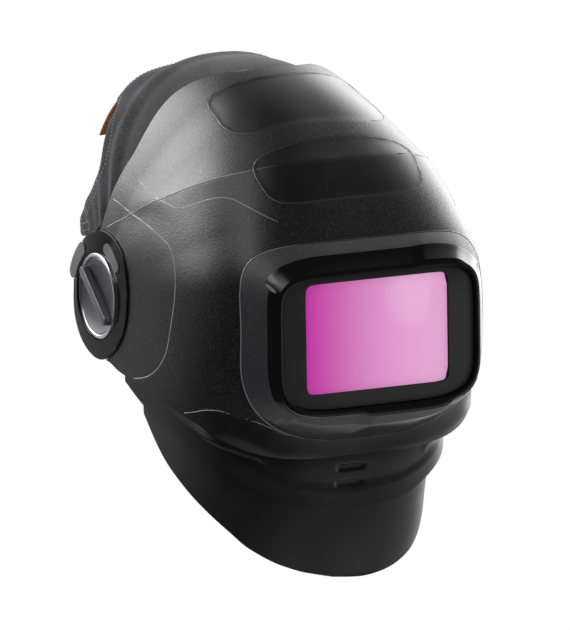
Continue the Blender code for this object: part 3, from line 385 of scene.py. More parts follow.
# %% [markdown]
# **Clear and metal parts.** The visor is a clear sheet that is never perfectly clean, the bolts are turned
# steel with fine rings, and the filter's electronics sit on a green board with tracks.


# %% Clear plastic, steel and the circuit board
def clear_plastic(name, color, alpha):
    made = Finish(name, color, 0.06, specular_ior_level=0.6, alpha=alpha)
    smear = made.noise(35, 3.0)
    made.set("Roughness", 0.04 + smear * 0.06)
    made.set("Alpha", alpha + smear * 0.05)
    return made.material


def steel():
    made = Finish("steel", roughness=0.3, metallic=1.0)
    lathe = made.noise(1.2, 3.0, made.place(size=(9, 1, 1)))
    made.set("Base Color", made.mix(lathe, (0.4, 0.4, 0.41), (0.62, 0.62, 0.63)))
    made.set("Roughness", 0.24 + lathe * 0.16)
    return made.material


def board():
    made = Finish("board", roughness=0.4)
    tracks = made.wave(2.4, "X").step(0.7, 0.8) * made.noise(9, 1.0).step(0.5, 0.52)
    made.set("Base Color", made.mix(tracks, (0.012, 0.09, 0.035), (0.06, 0.24, 0.09)))
    made.bump(tracks, 0.05)
    return made.material


CLEAR = clear_plastic("clear_plastic", (0.75, 0.8, 0.8), 0.16)
RED_LENS = clear_plastic("sensor_lens", (0.12, 0.01, 0.015), 0.9)
STEEL, BOARD = steel(), board()
print(len(bpy.data.materials), "materials")

# %% [markdown]
# **Tools for modelling.** An operator acts on whatever is selected, so each helper first selects the one
# object that it works on. Meshes are welded and their faces turned outwards in edit mode, as one would do
# by hand.


# %% Selection, edit mode and modifiers
def only(obj):
    """Selects this object alone."""
    bpy.ops.object.select_all(action="DESELECT")
    obj.select_set(True)
    bpy.context.view_layer.objects.active = obj
    return obj


def edit(obj, *steps):
    """Runs steps in edit mode on the whole mesh."""
    only(obj)
    bpy.ops.object.mode_set(mode="EDIT")
    bpy.ops.mesh.select_all(action="SELECT")
    for step in steps:
        step()
    bpy.ops.object.mode_set(mode="OBJECT")
    return obj


def weld():
    bpy.ops.mesh.remove_doubles(threshold=0.005 * MM)


def face_out():
    bpy.ops.mesh.normals_make_consistent(inside=False)


def modify(obj, kind, **settings):
    """Adds a modifier and applies it."""
    only(obj)
    made = obj.modifiers.new(kind.title(), kind)
    for word, value in settings.items():
        setattr(made, word, value)
    bpy.ops.object.modifier_apply(modifier=made.name)
    return obj


def bevel(obj, width, angle, segments=3, **more):
    """Rounds the edges that are sharper than this angle in degrees; the width is in metres."""
    limits = {"limit_method": "ANGLE", "angle_limit": math.radians(angle)}
    return modify(obj, "BEVEL", width=width, segments=segments, **limits, **more)


def cut(obj, tool, operation="DIFFERENCE"):
    """Boolean with a closed tool, which is then removed."""
    modify(obj, "BOOLEAN", object=tool, operation=operation, solver="MANIFOLD")
    bpy.data.objects.remove(tool)
    return obj


def smooth_shade(obj, angle=32):
    """Shades smooth across edges that are blunter than this angle in degrees."""
    only(obj)
    bpy.ops.object.shade_smooth_by_angle(angle=math.radians(angle), keep_sharp_edges=False)
    return obj


def join(name, pieces):
    """Joins pieces into the first one."""
    only(pieces[0])
    for piece in pieces:
        piece.select_set(True)
    bpy.ops.object.join()
    pieces[0].name = name
    return pieces[0]


print("modelling helpers are ready")

# %% [markdown]
# Many pieces here are soft or curved all over, which no primitive is. So their points are read as an array,
# moved by a formula and written back, and a number on each point can tell a material where it lies.


# %% Points and marks
def points_of(obj):
    points = np.empty(len(obj.data.vertices) * 3)
    obj.data.vertices.foreach_get("co", points)
    return points.reshape(-1, 3)


def move_points(obj, points):
    obj.data.vertices.foreach_set("co", np.asarray(points, float).ravel())
    obj.data.update()
    return obj


def mark(obj, name, values):
    """Writes a number on each point for a material to read."""
    layer = obj.data.attributes.new(name, "FLOAT", "POINT")
    layer.data.foreach_set("value", np.asarray(values, float))


def ramp(x, low, high):
    """0 below one value and 1 above another, with a soft ramp between them."""
    t = np.clip((x - low) / (high - low), 0, 1)
    return t * t * (3 - 2 * t)


def hill(x, middle, half, soft):
    """1 within this distance of the middle, falling softly to 0 on both sides."""
    return ramp(x, middle - half - soft, middle - half) * ramp(-x, -middle - half - soft, -middle - half)


print("points can be moved and marked")

# %% [markdown]
# Every piece starts as one of Blender's primitives. `net` takes a grid and lays it on a surface that a
# formula gives, `prism` pushes an outline out of a filled circle, `turned` spins a profile as a lathe
# would, and `thick` gives a sheet its wall.


# %% Nets, prisms, turned pieces and walls
def net(name, points, closed=True):
    """Grid laid on rows of points. A closed one has its seams welded and its faces turned outwards."""
    rows, columns = points.shape[:2]
    bpy.ops.mesh.primitive_grid_add(x_subdivisions=columns - 1, y_subdivisions=rows - 1, size=1)
    obj = bpy.context.active_object
    obj.name = name
    move_points(obj, points)
    return edit(obj, weld, face_out) if closed else obj


def prism(name, outline, axis, low, high, edge=0.0, segments=3):
    """Flat outline pushed along X (from Y and Z) or along Y (from X and Z), with rounded edges."""
    outline = np.asarray(outline)
    flat = np.full(len(outline), low)
    order = (flat, outline[:, 0], outline[:, 1]) if axis == "X" else (outline[:, 0], flat, outline[:, 1])
    bpy.ops.mesh.primitive_circle_add(vertices=len(outline), fill_type="NGON")
    obj = bpy.context.active_object
    obj.name = name
    move_points(obj, np.stack(order, -1))
    push = (high - low, 0, 0) if axis == "X" else (0, high - low, 0)

    def raise_it():
        bpy.ops.mesh.extrude_region_move(TRANSFORM_OT_translate={"value": push})

    edit(obj, raise_it, lambda: bpy.ops.mesh.select_all(action="SELECT"), face_out)
    return bevel(obj, edge, 50, segments) if edge else obj


def turned(name, profile, steps=96):
    """Profile of radius and height in millimetres, turned about Z by the Screw modifier."""
    profile = np.asarray(profile, float) * MM
    bpy.ops.mesh.primitive_circle_add(vertices=len(profile), fill_type="NOTHING")
    obj = bpy.context.active_object
    obj.name = name
    move_points(obj, np.stack([profile[:, 0], 0 * profile[:, 0], profile[:, 1]], -1))
    modify(obj, "SCREW", steps=steps, render_steps=steps, use_merge_vertices=True, merge_threshold=0.00001)
    return edit(obj, weld, face_out)


def thick(name, outer, wall):
    """Sheet of points given a wall on its inner side, as a closed solid."""
    piece = net(name, outer, closed=False)
    faces = piece.data.polygons
    facing = sum(face.normal.x * face.center.x + face.normal.y * face.center.y for face in faces)
    modify(piece, "SOLIDIFY", thickness=wall * MM, offset=-1 if facing > 0 else 1)
    return edit(piece, weld, face_out)


print("nets, prisms and turned pieces can be made")

# %% [markdown]
# `finish_piece` hides the solids that a new piece replaces, parents the piece to the body that it moves
# with, and gives it its one material. A imported solid is never changed: `copy_of` makes a copy with its
# loose triangles welded.


# %% Finishing a piece
def finish_piece(obj, material, replaces=(), slot=None):
    """Gives a piece its finish, hides the solids that it replaces and parents it to the body that it moves
    with.
    """
    obj.data.materials.clear()
    obj.data.materials.append(material)
    slot = slot or replaces[0]
    if replaces:
        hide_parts(*replaces)
    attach(obj, body_of_node[slot])
    return obj


def copy_of(node):
    """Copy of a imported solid, with its loose triangles welded."""
    obj = nodes[node].copy()
    obj.data = nodes[node].data.copy()
    obj.parent = None
    for key in list(obj.keys()):
        del obj[key]
    obj.name = f"{node}_piece"
    bpy.context.scene.collection.objects.link(obj)
    return edit(obj, weld)


print("pieces can be finished")

# %% [markdown]
# **Curves.** A hand-shaped part is drawn from a few chosen places with a smooth curve through them. `along`
# reads a value off such a curve without overshooting between its rows, and `square_circle` gives the
# sections, which are anything between a circle and a square.


# %% Smooth tables and sections
def along(rows, at, column=1):
    """Values from a table, on a curve that keeps a steady slope at each row."""
    rows = np.asarray(rows, float)
    xs, ys = rows[:, 0], rows[:, column]
    slope = np.diff(ys) / np.diff(xs)
    before, after = slope[:-1], slope[1:]
    both = np.where(before * after > 0, before + after, 1.0)
    inner = np.where(before * after > 0, 2 * before * after / both, 0.0)
    tangent = np.concatenate([slope[:1], inner, slope[-1:]])
    i = np.clip(np.searchsorted(xs, at) - 1, 0, len(xs) - 2)
    step = xs[i + 1] - xs[i]
    u = np.clip((at - xs[i]) / step, 0, 1)
    return (
        ys[i] * (2 * u**3 - 3 * u**2 + 1) + tangent[i] * step * (u**3 - 2 * u**2 + u)
        + ys[i + 1] * (3 * u**2 - 2 * u**3) + tangent[i + 1] * step * (u**3 - u**2)
    )


def square_circle(turn, exponent):
    """Unit outline between a circle (2) and a square (large), at this turn from the first axis."""
    c, s = np.cos(turn), np.sin(turn)
    k = (np.abs(c) ** exponent + np.abs(s) ** exponent) ** (-1 / exponent)
    return c * k, s * k


def rounded(points, count, closed=False):
    """Smooth line through a few points, with places evenly spread along it."""
    points = np.asarray(points, float)
    if closed:
        points = np.concatenate([points[-3:], points, points[:3]])
    u = np.arange(len(points), dtype=float)
    start, end = (2, len(points) - 3) if closed else (0, len(points) - 1)
    fine = np.linspace(start, end, 40 * len(points))
    i = np.clip(fine.astype(int), 0, len(points) - 2)
    t = (fine - u[i])[:, None]
    before, after = points[np.maximum(i - 1, 0)], points[np.minimum(i + 2, len(points) - 1)]
    a, b = points[i], points[i + 1]
    line = 0.5 * (
        2 * a + (b - before) * t + (2 * before - 5 * a + 4 * b - after) * t**2
        + (3 * a - before - 3 * b + after) * t**3
    )
    run = np.concatenate([[0], np.cumsum(np.linalg.norm(np.diff(line, axis=0), axis=1))])
    even = np.linspace(0, run[-1], count)
    return np.stack([np.interp(even, run, line[:, k]) for k in range(line.shape[1])], -1)


print("curves are ready")

# %% [markdown]
# **Fan surfaces.** The shield turns about the wearer's temples, so its shell is drawn as a fan about that
# axis: each angle has a reach, and a section through the axis that is round over the crown and square at
# the chin. One formula then gives the shell, the visor that turns inside it and the leather strip behind
# it, and they clear each other at every pose.

# %% The three fans
SHELL = (  # angle from the front, reach, exponent
    (-180, 157, 2.4), (-110, 166, 2.9), (-70, 170, 3.2), (-50, 178, 3.6), (-31, 175, 4.2), (-10, 172, 5.0),
    (10, 171, 4.8), (25, 165, 3.8), (40, 161.5, 3.0), (55, 160, 2.45), (70, 159, 2.2), (95, 157.5, 2.2),
    (130, 157, 2.2), (180, 157, 2.4),
)
VISOR = ((-180, 155, 3.0), (180, 155, 3.0))
BAND = ((-180, 151.5, 2.2), (180, 151.5, 2.2))
SHELL_HALF, VISOR_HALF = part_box("outer_shell")[1][0] / MM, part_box("visor_frame")[1][0] / MM
BAND_HALF = 103
NEAR, NEAR_ACROSS = 1e-3, 1e-3 / 90  # steps that give a surface's slope
TINY = 1e-12


def fan(rows, half, angle, across, out=0.0):
    """Points on a fan surface in metres, at an angle in degrees and a place from -1 to 1 across it."""
    angle = (np.asarray(angle, float) + 180) % 360 - 180
    c, s = square_circle(across * np.pi / 2, along(rows, angle, 2))
    reach, turn = (along(rows, angle) + out) * c, np.radians(angle)
    return np.stack([(half + out) * s, -reach * np.cos(turn), reach * np.sin(turn)], -1) * MM


def fan_normal(rows, half, angle, across):
    """Unit directions that point out of a fan surface."""
    by_angle = fan(rows, half, angle + NEAR, across) - fan(rows, half, angle - NEAR, across)
    by_across = fan(rows, half, angle, across + NEAR_ACROSS) - fan(rows, half, angle, across - NEAR_ACROSS)
    normal = np.cross(by_across, by_angle)
    normal /= np.linalg.norm(normal, axis=-1, keepdims=True) + TINY
    outwards = np.sign((normal * fan(rows, half, angle, across)).sum(-1, keepdims=True))
    return normal * outwards


def fan_place(rows, half, points):
    """Angle, place across and depth (1 on the surface) of points near a fan surface."""
    x, y, z = (points / MM).T
    angle = np.degrees(np.arctan2(z, -y))
    n = along(rows, angle, 2)
    s, c = np.abs(x) / half, np.hypot(y, z) / along(rows, angle)
    depth = (s**n + c**n) ** (1 / n)
    across = np.arctan2(s, c) * 2 / np.pi * np.sign(x)
    return angle, across, depth


print("shell", SHELL_HALF, "and visor", VISOR_HALF, "millimetres to each side")

# %% [markdown]
# A Boolean needs closed solids, so a fan is made all the way round and cut afterwards. Its mesh is fine
# only over the stretch of angles that stays.

# %% Fans as solids, and cuts from the side
DEEP = 0.2  # metres, past every side
BEYOND = 130  # millimetres, past every side
COARSE = 12  # degrees between the rows of the mesh where it is cut away


def fan_solid(name, rows, half, out, angles, across_count):
    """Closed solid inside a fan surface, this far out in millimetres."""
    grid_angle, grid_across = np.meshgrid(angles, np.linspace(-1, 1, across_count))
    return net(name, fan(rows, half, grid_angle, grid_across, out))


def round_trip(fine_low, fine_high, fine_step):
    """Angles all the way round, close together over one stretch."""
    fine = np.arange(fine_low, fine_high, fine_step)
    rest = np.linspace(fine_high, fine_low + 360, round((360 + fine_low - fine_high) / COARSE) + 1)
    return np.concatenate([fine, rest])


def side_prism(name, side, outline, low):
    """Prism of an outline in metres on one side, from this far out in millimetres to past the shell."""
    low, high = (low, BEYOND) if side > 0 else (-BEYOND, -low)
    return prism(name, outline, "X", low * MM, high * MM)


def side_cut(obj, outline, operation="INTERSECT"):
    """Keeps what is inside an outline in millimetres, seen from the side, or takes it away."""
    return cut(obj, prism("side", np.asarray(outline) * MM, "X", -DEEP, DEEP), operation)


print("fans can be cut")

# %% [markdown]
# **The shell's lines.** The shell is cut out of the closed fan by its outline from the side. Its relief
# follows lines that run over it: a crest that runs back from the brow, seams, and two panels. They are
# places on the fan and not points in space, so they stay on the surface when its shape is tuned.

# %% Outline and lines of the shell
SHELL_SIDE = (  # Y and Z: rear edge from the crown down, round the pivot, lower rim, and a loop in front
    (-45, 175), (-45, 153), (-36, 150), (-25, 144.5), (-18, 138), (-15, 128), (-15, 112), (-14, 98),
    (-8, 82), (-3, 67), (0, 55), (4, 43), (16, 37), (28, 25), (32.5, 8), (32, -10), (27, -25),
    (16, -35), (0, -41), (-14, -43), (-26, -47), (-45, -50.5), (-75, -57), (-108, -66), (-133, -76),
    (-146, -86), (-150, -92), (-152, -95), (-154, -99),
)
IN_FRONT = ((-190, -112), (-200, 0), (-190, 120), (-120, 175))
CREST = (  # lines on the shell: angle from the front, and place from the middle (0) to the pivot (1)
    (100, 0.835), (88, 0.817), (74.5, 0.787), (61.5, 0.73), (49, 0.618), (44, 0.527), (41.5, 0.443),
    (40, 0.373), (39.5, 0.315), (39, 0.183), (39, 0),
)
CROWN_LINE = (
    (75, 0), (77.5, 0.127), (80, 0.212), (81.2, 0.265), (84, 0.335), (83.5, 0.393), (82.5, 0.493),
    (82.5, 0.558), (81, 0.607), (74.8, 0.643), (64, 0.642), (53.5, 0.633), (41, 0.587), (38, 0.545),
    (36.2, 0.475), (34, 0.427), (30, 0.385), (26.5, 0.34), (24.2, 0.288), (24, 0.182), (24.2, 0),
)
CROWN_LINE_LEFT = (
    (60, 0.6), (45, 0.55), (38, 0.51), (33.5, 0.495), (28.5, 0.486), (25.2, 0.44), (24.4, 0.35), (24.2, 0),
)
CHEEK_LINE = (
    (92, 0.718), (81, 0.732), (61.8, 0.727), (46.2, 0.698), (34.2, 0.662), (28.5, 0.643), (22.2, 0.637),
    (13.8, 0.648), (-0.8, 0.67), (-14.2, 0.683), (-23, 0.70), (-31.8, 0.723), (-51.2, 0.78), (-69.8, 0.792),
)
CROWN_PANEL = (
    (50.8, 0), (50.7, 0.1), (50.3, 0.2), (51, 0.27), (53.5, 0.323), (57.5, 0.343), (62.8, 0.341),
    (68.2, 0.334), (71, 0.302), (71.2, 0.255), (70.3, 0.19), (69.5, 0.1), (69, 0),
)
BROW_PANEL = (
    (45, 0), (45, 0.1), (44.2, 0.2), (43.2, 0.283), (41, 0.322), (38, 0.332), (34, 0.325), (31, 0.31),
    (29.2, 0.27), (28.5, 0.18), (28.7, 0.08), (28.8, 0),
)
CHIN_LINE = (
    (-31.5, 0.60), (-28, 0.572), (-24.5, 0.54), (-22.3, 0.495), (-22.4, 0.41), (-24, 0.345), (-25.4, 0.29),
    (-26.5, 0.143), (-27, 0),
)
RIM_LINE = ((-47, 0.76), (-40.8, 0.712), (-36.8, 0.668), (-33.2, 0.62), (-31, 0.575))


def both_sides(half_line):
    """A line from the right to the left, from its half on one side that ends in the middle."""
    half_line = np.asarray(half_line, float)
    return np.concatenate([(half_line * (1, -1))[:-1], half_line[::-1]])


def loop_of(half_line):
    """A closed line from its half on one side."""
    half_line = np.asarray(half_line, float)
    return np.concatenate([half_line, (half_line[::-1] * (1, -1))[1:-1]])


print(len(SHELL_SIDE), "places on the shell's outline and", len(CREST), "on its crest")

# %% [markdown]
# To raise a crest or sink a panel, each point of the mesh has to know how far it is from a line. The
# distance is signed, so that the two sides of a line can fall away differently.

# %% Distances on the shell
ROUND_IT, ACROSS_IT = 160, 180  # millimetres for one radian round the shell, and for 1 across it


def metric(angle, across):
    """Places on the shell as millimetres round it and millimetres across it."""
    return np.stack([angle * np.pi / 180 * ROUND_IT, across * ACROSS_IT], -1)


def signed_distance(places, line):
    """Distance in millimetres from a line, positive on its left."""
    start, end = line[:-1], line[1:]
    best, sign = np.full(len(places), np.inf), np.ones(len(places))
    for a, d in zip(start, end - start):
        t = np.clip(((places - a) @ d) / (d @ d), 0, 1)
        gap = places - a - t[:, None] * d
        length = np.hypot(*gap.T)
        nearer = length < best
        best = np.where(nearer, length, best)
        sign = np.where(nearer, np.sign(d[0] * gap[:, 1] - d[1] * gap[:, 0]), sign)
    return best * sign


def inside_loop(places, loop):
    """How far in millimetres each place is inside a closed loop, negative outside it."""
    gap = np.abs(signed_distance(places, np.concatenate([loop, loop[:1]])))
    inside = np.zeros(len(places), bool)
    for (ax, ay), (bx, by) in zip(loop, np.roll(loop, -1, axis=0)):
        crossing = (ay > places[:, 1]) != (by > places[:, 1])
        reach = ax + (places[:, 1] - ay) * (bx - ax) / (by - ay + TINY)
        inside ^= crossing & (places[:, 0] < reach)
    return np.where(inside, gap, -gap)


print("distances can be measured")

# %% [markdown]
# **Relief.** A crest runs back from the brow, the chin flares into a lip, and the panels lie a little
# deeper and are smoother to the eye. Sculpting would do this by hand; a formula does it evenly on both
# sides.

# %% Relief of the shell
CREST_HEIGHT, CREST_ABOVE, CREST_BELOW, CREST_ROUND = 2.0, 24.0, 11.0, 1.2
FLAT_FROM, FADE = 106.5, 7  # the crest fades out before the flat seat of the bezel
PANEL_DEPTH, PANEL_EDGE = 0.3, 1.6
LIP_FLARE, LIP_TURN, LIP_INNER, LIP_OUTER = 3.4, 13.0, -0.5, -0.6
SMOOTH_BELOW, SMOOTH_OVER = -15, 20  # degrees where the flake begins to fade, and how many it takes


def shell_relief(points):
    """Height in millimetres and smoothness of places on the shell."""
    angle, across, _ = fan_place(SHELL, SHELL_HALF, points)
    places = metric(angle, np.abs(across))
    crest = -signed_distance(places, metric(*np.asarray(CREST, float).T))
    fall = np.where(crest > 0, CREST_ABOVE, CREST_BELOW)
    height = CREST_HEIGHT * np.exp(-np.sqrt(crest**2 + CREST_ROUND) / fall)
    height *= ramp(-np.abs(points[:, 0]) / MM, -FLAT_FROM, -FLAT_FROM + FADE)
    panels = [
        inside_loop(metric(angle, across), metric(*rounded(loop_of(panel), 60, True).T))
        for panel in (CROWN_PANEL, BROW_PANEL)
    ]
    deep = np.maximum(ramp(panels[0], 0, PANEL_EDGE), ramp(panels[1], 0, PANEL_EDGE))
    line = rounded(CHIN_LINE, 60)[::-1]
    chin = np.abs(signed_distance(places, metric(*line.T)))
    below = (angle < np.interp(np.abs(across), line[:, 1], line[:, 0])) & (np.abs(across) < -LIP_OUTER)
    flare = np.clip(chin / LIP_TURN, 0, 1) ** 1.5 * below * ramp(-np.abs(across), LIP_OUTER, LIP_INNER)
    low = np.clip((SMOOTH_BELOW - angle) / SMOOTH_OVER, 0, 1) * ramp(np.abs(across), 0.75, 0.55)
    smooth = np.clip(deep + below + low, 0, 1)
    return height - PANEL_DEPTH * deep + LIP_FLARE * flare, smooth


def on_shell(line, out=0.0):
    """Points in metres of a line of angles and places across the shell."""
    angle, across = line.T
    surface = fan(SHELL, SHELL_HALF, angle, across)
    lift = shell_relief(surface)[0] + out
    return surface + fan_normal(SHELL, SHELL_HALF, angle, across) * lift[:, None] * MM


print("relief of", CREST_HEIGHT, "mm at the crest and", LIP_FLARE, "mm at the lip")

# %% [markdown]
# **The window and the seats.** The opening for the filter leans back a little, so everything round it is
# drawn flat and turned into place at the end. The bezels sit in flat seats whose outline is a curve about
# the pivot.

# %% The window's plane and the outlines
GAP = 0.35
WINDOW_AT, WINDOW_LEAN = Vector((0, -177 * MM, -7.25 * MM)), math.radians(-1.8)
PLATE_HALF, PLATE_LOW, PLATE_HIGH = 73.5, -47.4, 40.4
window = Matrix.Translation(WINDOW_AT) @ Matrix.Rotation(WINDOW_LEAN, 4, "X")
BEZEL_POLAR = (
    (0, 40.5), (20, 43), (45, 46), (65, 45), (90, 44), (125, 41.5), (150, 38), (180, 34),
    (210, 37), (240, 40.5), (275, 43), (300, 41), (330, 40), (360, 40.5),
)
BEZEL_POINTS = 150


def in_window(obj):
    """Moves a piece from the window's own plane to its place."""
    obj.data.transform(window)
    return obj


def polar_outline(grow):
    """Outline of the bezel about its pivot, this much larger."""
    angle = np.arange(BEZEL_POINTS) * 360 / BEZEL_POINTS
    reach, turn = along(BEZEL_POLAR, angle) + grow, np.radians(angle)
    return np.stack([-reach * np.cos(turn), reach * np.sin(turn)], -1) * MM


def rounded_box(half_x, low, high, corner_low, corner_high, count=160):
    """Outline with square sides and round corners; a larger corner number is squarer."""
    turn = np.arange(count) * 2 * np.pi / count
    above = np.sin(turn) >= 0
    c, s = square_circle(turn, np.where(above, corner_high, corner_low))
    return np.stack([half_x * c, (low + high) / 2 + (high - low) / 2 * s], -1) * MM


def plate_outline(grow, count=160):
    """Outline of the cover plate, this much larger."""
    return rounded_box(PLATE_HALF + grow, PLATE_LOW - grow, PLATE_HIGH + grow, 5.0, 7.0, count)


print("cover plate", 2 * PLATE_HALF, "x", PLATE_HIGH - PLATE_LOW, "mm")

# %% [markdown]
# **The shell.** It is a moulding of even wall. It is cut from the fan, hollowed with a smaller fan, and
# opened for the filter. The relief comes last, and only on the outer face, so that the inside stays clear
# of the visor.

# %% The outer shell
SHELL_WALL = 2.2
SEAT_FACE, SEAT_BACK, SEAT_MARGIN, SEAT_RIM = 107.2, 104.9, 3.0, 0.5
LOW_ANGLE, HIGH_ANGLE = -54, 100  # the shell's own stretch of the fan
OUTER_DEPTH = 0.9945  # a place at this depth or more is on the outer face


def make_shell():
    shell = fan_solid("shell_piece", SHELL, SHELL_HALF, 0, round_trip(LOW_ANGLE, HIGH_ANGLE, 0.8), 221)
    side_cut(shell, np.concatenate([rounded(SHELL_SIDE, 150), IN_FRONT]))
    hollow = fan_solid("hollow", SHELL, SHELL_HALF, -SHELL_WALL, round_trip(LOW_ANGLE, HIGH_ANGLE, 4), 91)
    for side in (-1, 1):
        cut(hollow, side_prism("keep", side, polar_outline(SEAT_MARGIN), SEAT_BACK))
        cut(shell, side_prism("seat", side, polar_outline(GAP), SEAT_FACE))
    cut(shell, hollow)
    cut(shell, in_window(prism("opening", plate_outline(GAP - 1.0), "Y", -0.03, 0.06)))
    points = points_of(shell)
    angle, across, depth = fan_place(SHELL, SHELL_HALF, points)
    height, smooth = shell_relief(points)
    raised = (depth > OUTER_DEPTH) & (np.abs(points[:, 0]) <= (SEAT_FACE - SEAT_RIM) * MM)
    lift = fan_normal(SHELL, SHELL_HALF, angle, across) * height[:, None] * MM
    move_points(shell, np.where(raised[:, None], points + lift, points))
    mark(shell, "smooth", smooth)
    return finish_piece(smooth_shade(shell), FLAKE, ["outer_shell"])


shell = make_shell()
print("shell", len(shell.data.polygons), "faces")

# %% [markdown]
# ** Seams.** Each panel of the shell ends in a fine moulded edge. An edge this narrow is too small to cut
# into a mesh of this size, so each one is a thin bead, half sunk into the surface along the same line. At
# the sides it is painted lighter, as a painted highlight where the edge catches the light.

# %% Beads
BEAD_SIDES, BEAD_TAPER, BEAD_END = 7, 4, 0.02
NO_AXIS = (0.31, 0.27, 0.91)  # a direction that no bead runs along
# millimetres to the side where the painted highlight on the beads is full
HIGHLIGHT_FULL_AT = 80


def bead(name, points, radius, tapered=True):
    """Round cord along a line of points, made by skinning rings."""
    points = np.asarray(points)
    forward = np.gradient(points, axis=0)
    forward /= np.linalg.norm(forward, axis=1, keepdims=True) + TINY
    across = np.cross(forward, NO_AXIS)
    across /= np.linalg.norm(across, axis=1, keepdims=True)
    up = np.cross(across, forward)
    turn = np.linspace(0, 2 * np.pi, BEAD_SIDES)
    place = np.arange(len(points))
    taper = np.ones(len(points))
    if tapered:
        taper = np.clip(np.minimum(place, place[::-1]) / BEAD_TAPER, BEAD_END, 1)
    rings = (
        points[:, None] + radius * taper[:, None, None]
        * (np.cos(turn)[None, :, None] * across[:, None] + np.sin(turn)[None, :, None] * up[:, None])
    )
    return net(name, rings)


def painted_side_highlight(obj, start, share):
    """Marks a bead with a painted highlight, lighter from this far to each side of the middle, in
    millimetres.
    """
    mark(obj, "light", share * ramp(np.abs(points_of(obj)[:, 0]) / MM, start, HIGHLIGHT_FULL_AT))


print("beads can be laid")

# %% Panel seams
SEAM_RADIUS = 0.4
PIVOT_CLEAR, EDGE_CLEAR = 47, 0.5  # seams stop this far from the pivot and from the shell's edge
LIFT = {"crest": -0.02, "crown": -0.24, "panel": -0.24, "chin": -0.3, "cheek": -0.12, "rim": -0.32}


def seam_lines():
    """Lines on the shell, and how far out in millimetres the middle of each bead lies."""
    lines = [
        (both_sides(rounded(CREST, 130)), LIFT["crest"]),
        (rounded(CROWN_LINE, 160) * (1, -1), LIFT["crown"]),
        (rounded(CROWN_LINE_LEFT, 90), LIFT["crown"]),
        (both_sides(rounded(CHIN_LINE, 90)), LIFT["chin"]),
    ]
    lines += [(rounded(loop_of(panel), 170, True), LIFT["panel"]) for panel in (CROWN_PANEL, BROW_PANEL)]
    for side in (-1, 1):
        lines.append((rounded(CHEEK_LINE, 140) * (1, side), LIFT["cheek"]))
        lines.append((rounded(RIM_LINE, 40) * (1, side), LIFT["rim"]))
    return lines


def on_side(points):
    """Which points lie inside the shell's outline, seen from the side, and outside the bezels."""
    rear = rounded(SHELL_SIDE, 150)
    places = points[:, 1:] / MM
    inside = inside_loop(places, np.concatenate([rear, IN_FRONT])) > 0
    edge = np.abs(signed_distance(places, rear)) > EDGE_CLEAR
    return inside & edge & (np.hypot(*places.T) > PIVOT_CLEAR)


def make_seams():
    beads = []
    for line, lift in seam_lines():
        points = on_shell(line, lift)
        kept = points[on_side(points)]
        if len(kept) > 8:
            beads.append(bead("seam", kept, SEAM_RADIUS * MM))
    lines = join("shell_seams", beads)
    # painted highlight: the seams are painted lighter towards the sides
    painted_side_highlight(lines, 45, 1.0)
    return finish_piece(smooth_shade(lines, 60), SEAM, slot="outer_shell")


seams = make_seams()
print("seams", len(seams.data.polygons), "faces")

# %% [markdown]
# **The front frame.** It is a deep ring of gloss plastic. An extruded ring would have one section all the
# way round, and this one changes: it is narrower above the window, and its lip swells where the fingers go
# to lift the plate out. So it is lofted from rings. From the outside in they are a thin edge on the shell,
# an etched flat, a polished chamfer, the lip round the cover plate and the wall down to the plate.

# %% Rings of the front frame
RING = 240  # places round each ring
FRAME_HALF, FRAME_LOW, FRAME_HIGH, FRAME_PROUD = 93, -74, 62, 1.4
FRAME_DEEP, HOLE_DEEP = 8.5, 24
LIP_WIDE, LIP_BELOW, LIP_PROUD = 4.0, 4.6, 2.2


def to_window(points):
    """Places in the window's own plane."""
    inverse = np.array(window.inverted())
    return points @ inverse[:3, :3].T + inverse[:3, 3]


def frame_outline(grow, proud):
    """Ring on the shell's surface, in the window's own plane."""
    flat = rounded_box(FRAME_HALF + grow, FRAME_LOW - grow, FRAME_HIGH + grow, 2.6, 5.5, RING)
    x, z = flat[:, 0] / MM, flat[:, 1] / MM + WINDOW_AT.z / MM
    angle = np.zeros(len(x))
    for _ in range(12):  # closes in on the angle whose reach gives this height
        n = along(SHELL, angle, 2)
        c = (1 - np.clip(np.abs(x) / SHELL_HALF, 0, 0.999) ** n) ** (1 / n)
        angle = np.degrees(np.arcsin(np.clip(z / (along(SHELL, angle) * c), -0.99, 0.99)))
    y = -along(SHELL, angle) * c * np.cos(np.radians(angle)) - proud
    return to_window(np.stack([x, y, z], -1) * MM)


def blend(low, high, share, raise_by):
    """Ring between two rings; the share may change round the ring. Y points into the shield."""
    share = np.broadcast_to(share, len(low))[:, None]
    ring = low * (1 - share) + high * share
    ring[:, 1] -= raise_by * MM
    return ring


def flat_ring(outline, depth):
    """Outline at one depth behind the plate's face, in millimetres."""
    return np.stack([outline[:, 0], np.full(len(outline), depth * MM), outline[:, 1]], -1)


def lip_ring():
    """Lip round the plate: it swells along the bottom, and at the top on the wearer's left."""
    outline = rounded_box(
        PLATE_HALF + LIP_WIDE, PLATE_LOW - LIP_BELOW, PLATE_HIGH + LIP_WIDE, 4.6, 6.5, RING,
    )
    x, low, high = outline[:, 0] / MM, outline[:, 1] < -0.03, outline[:, 1] > 0.03
    swell = 2.6 * hill(x, 22, 26, 12) * low + 2.2 * hill(x, 48, 12, 10) * high
    outwards = np.stack([0 * x, 0.2 * swell, swell * low - swell * high], -1)
    return flat_ring(outline, -LIP_PROUD) - outwards * MM


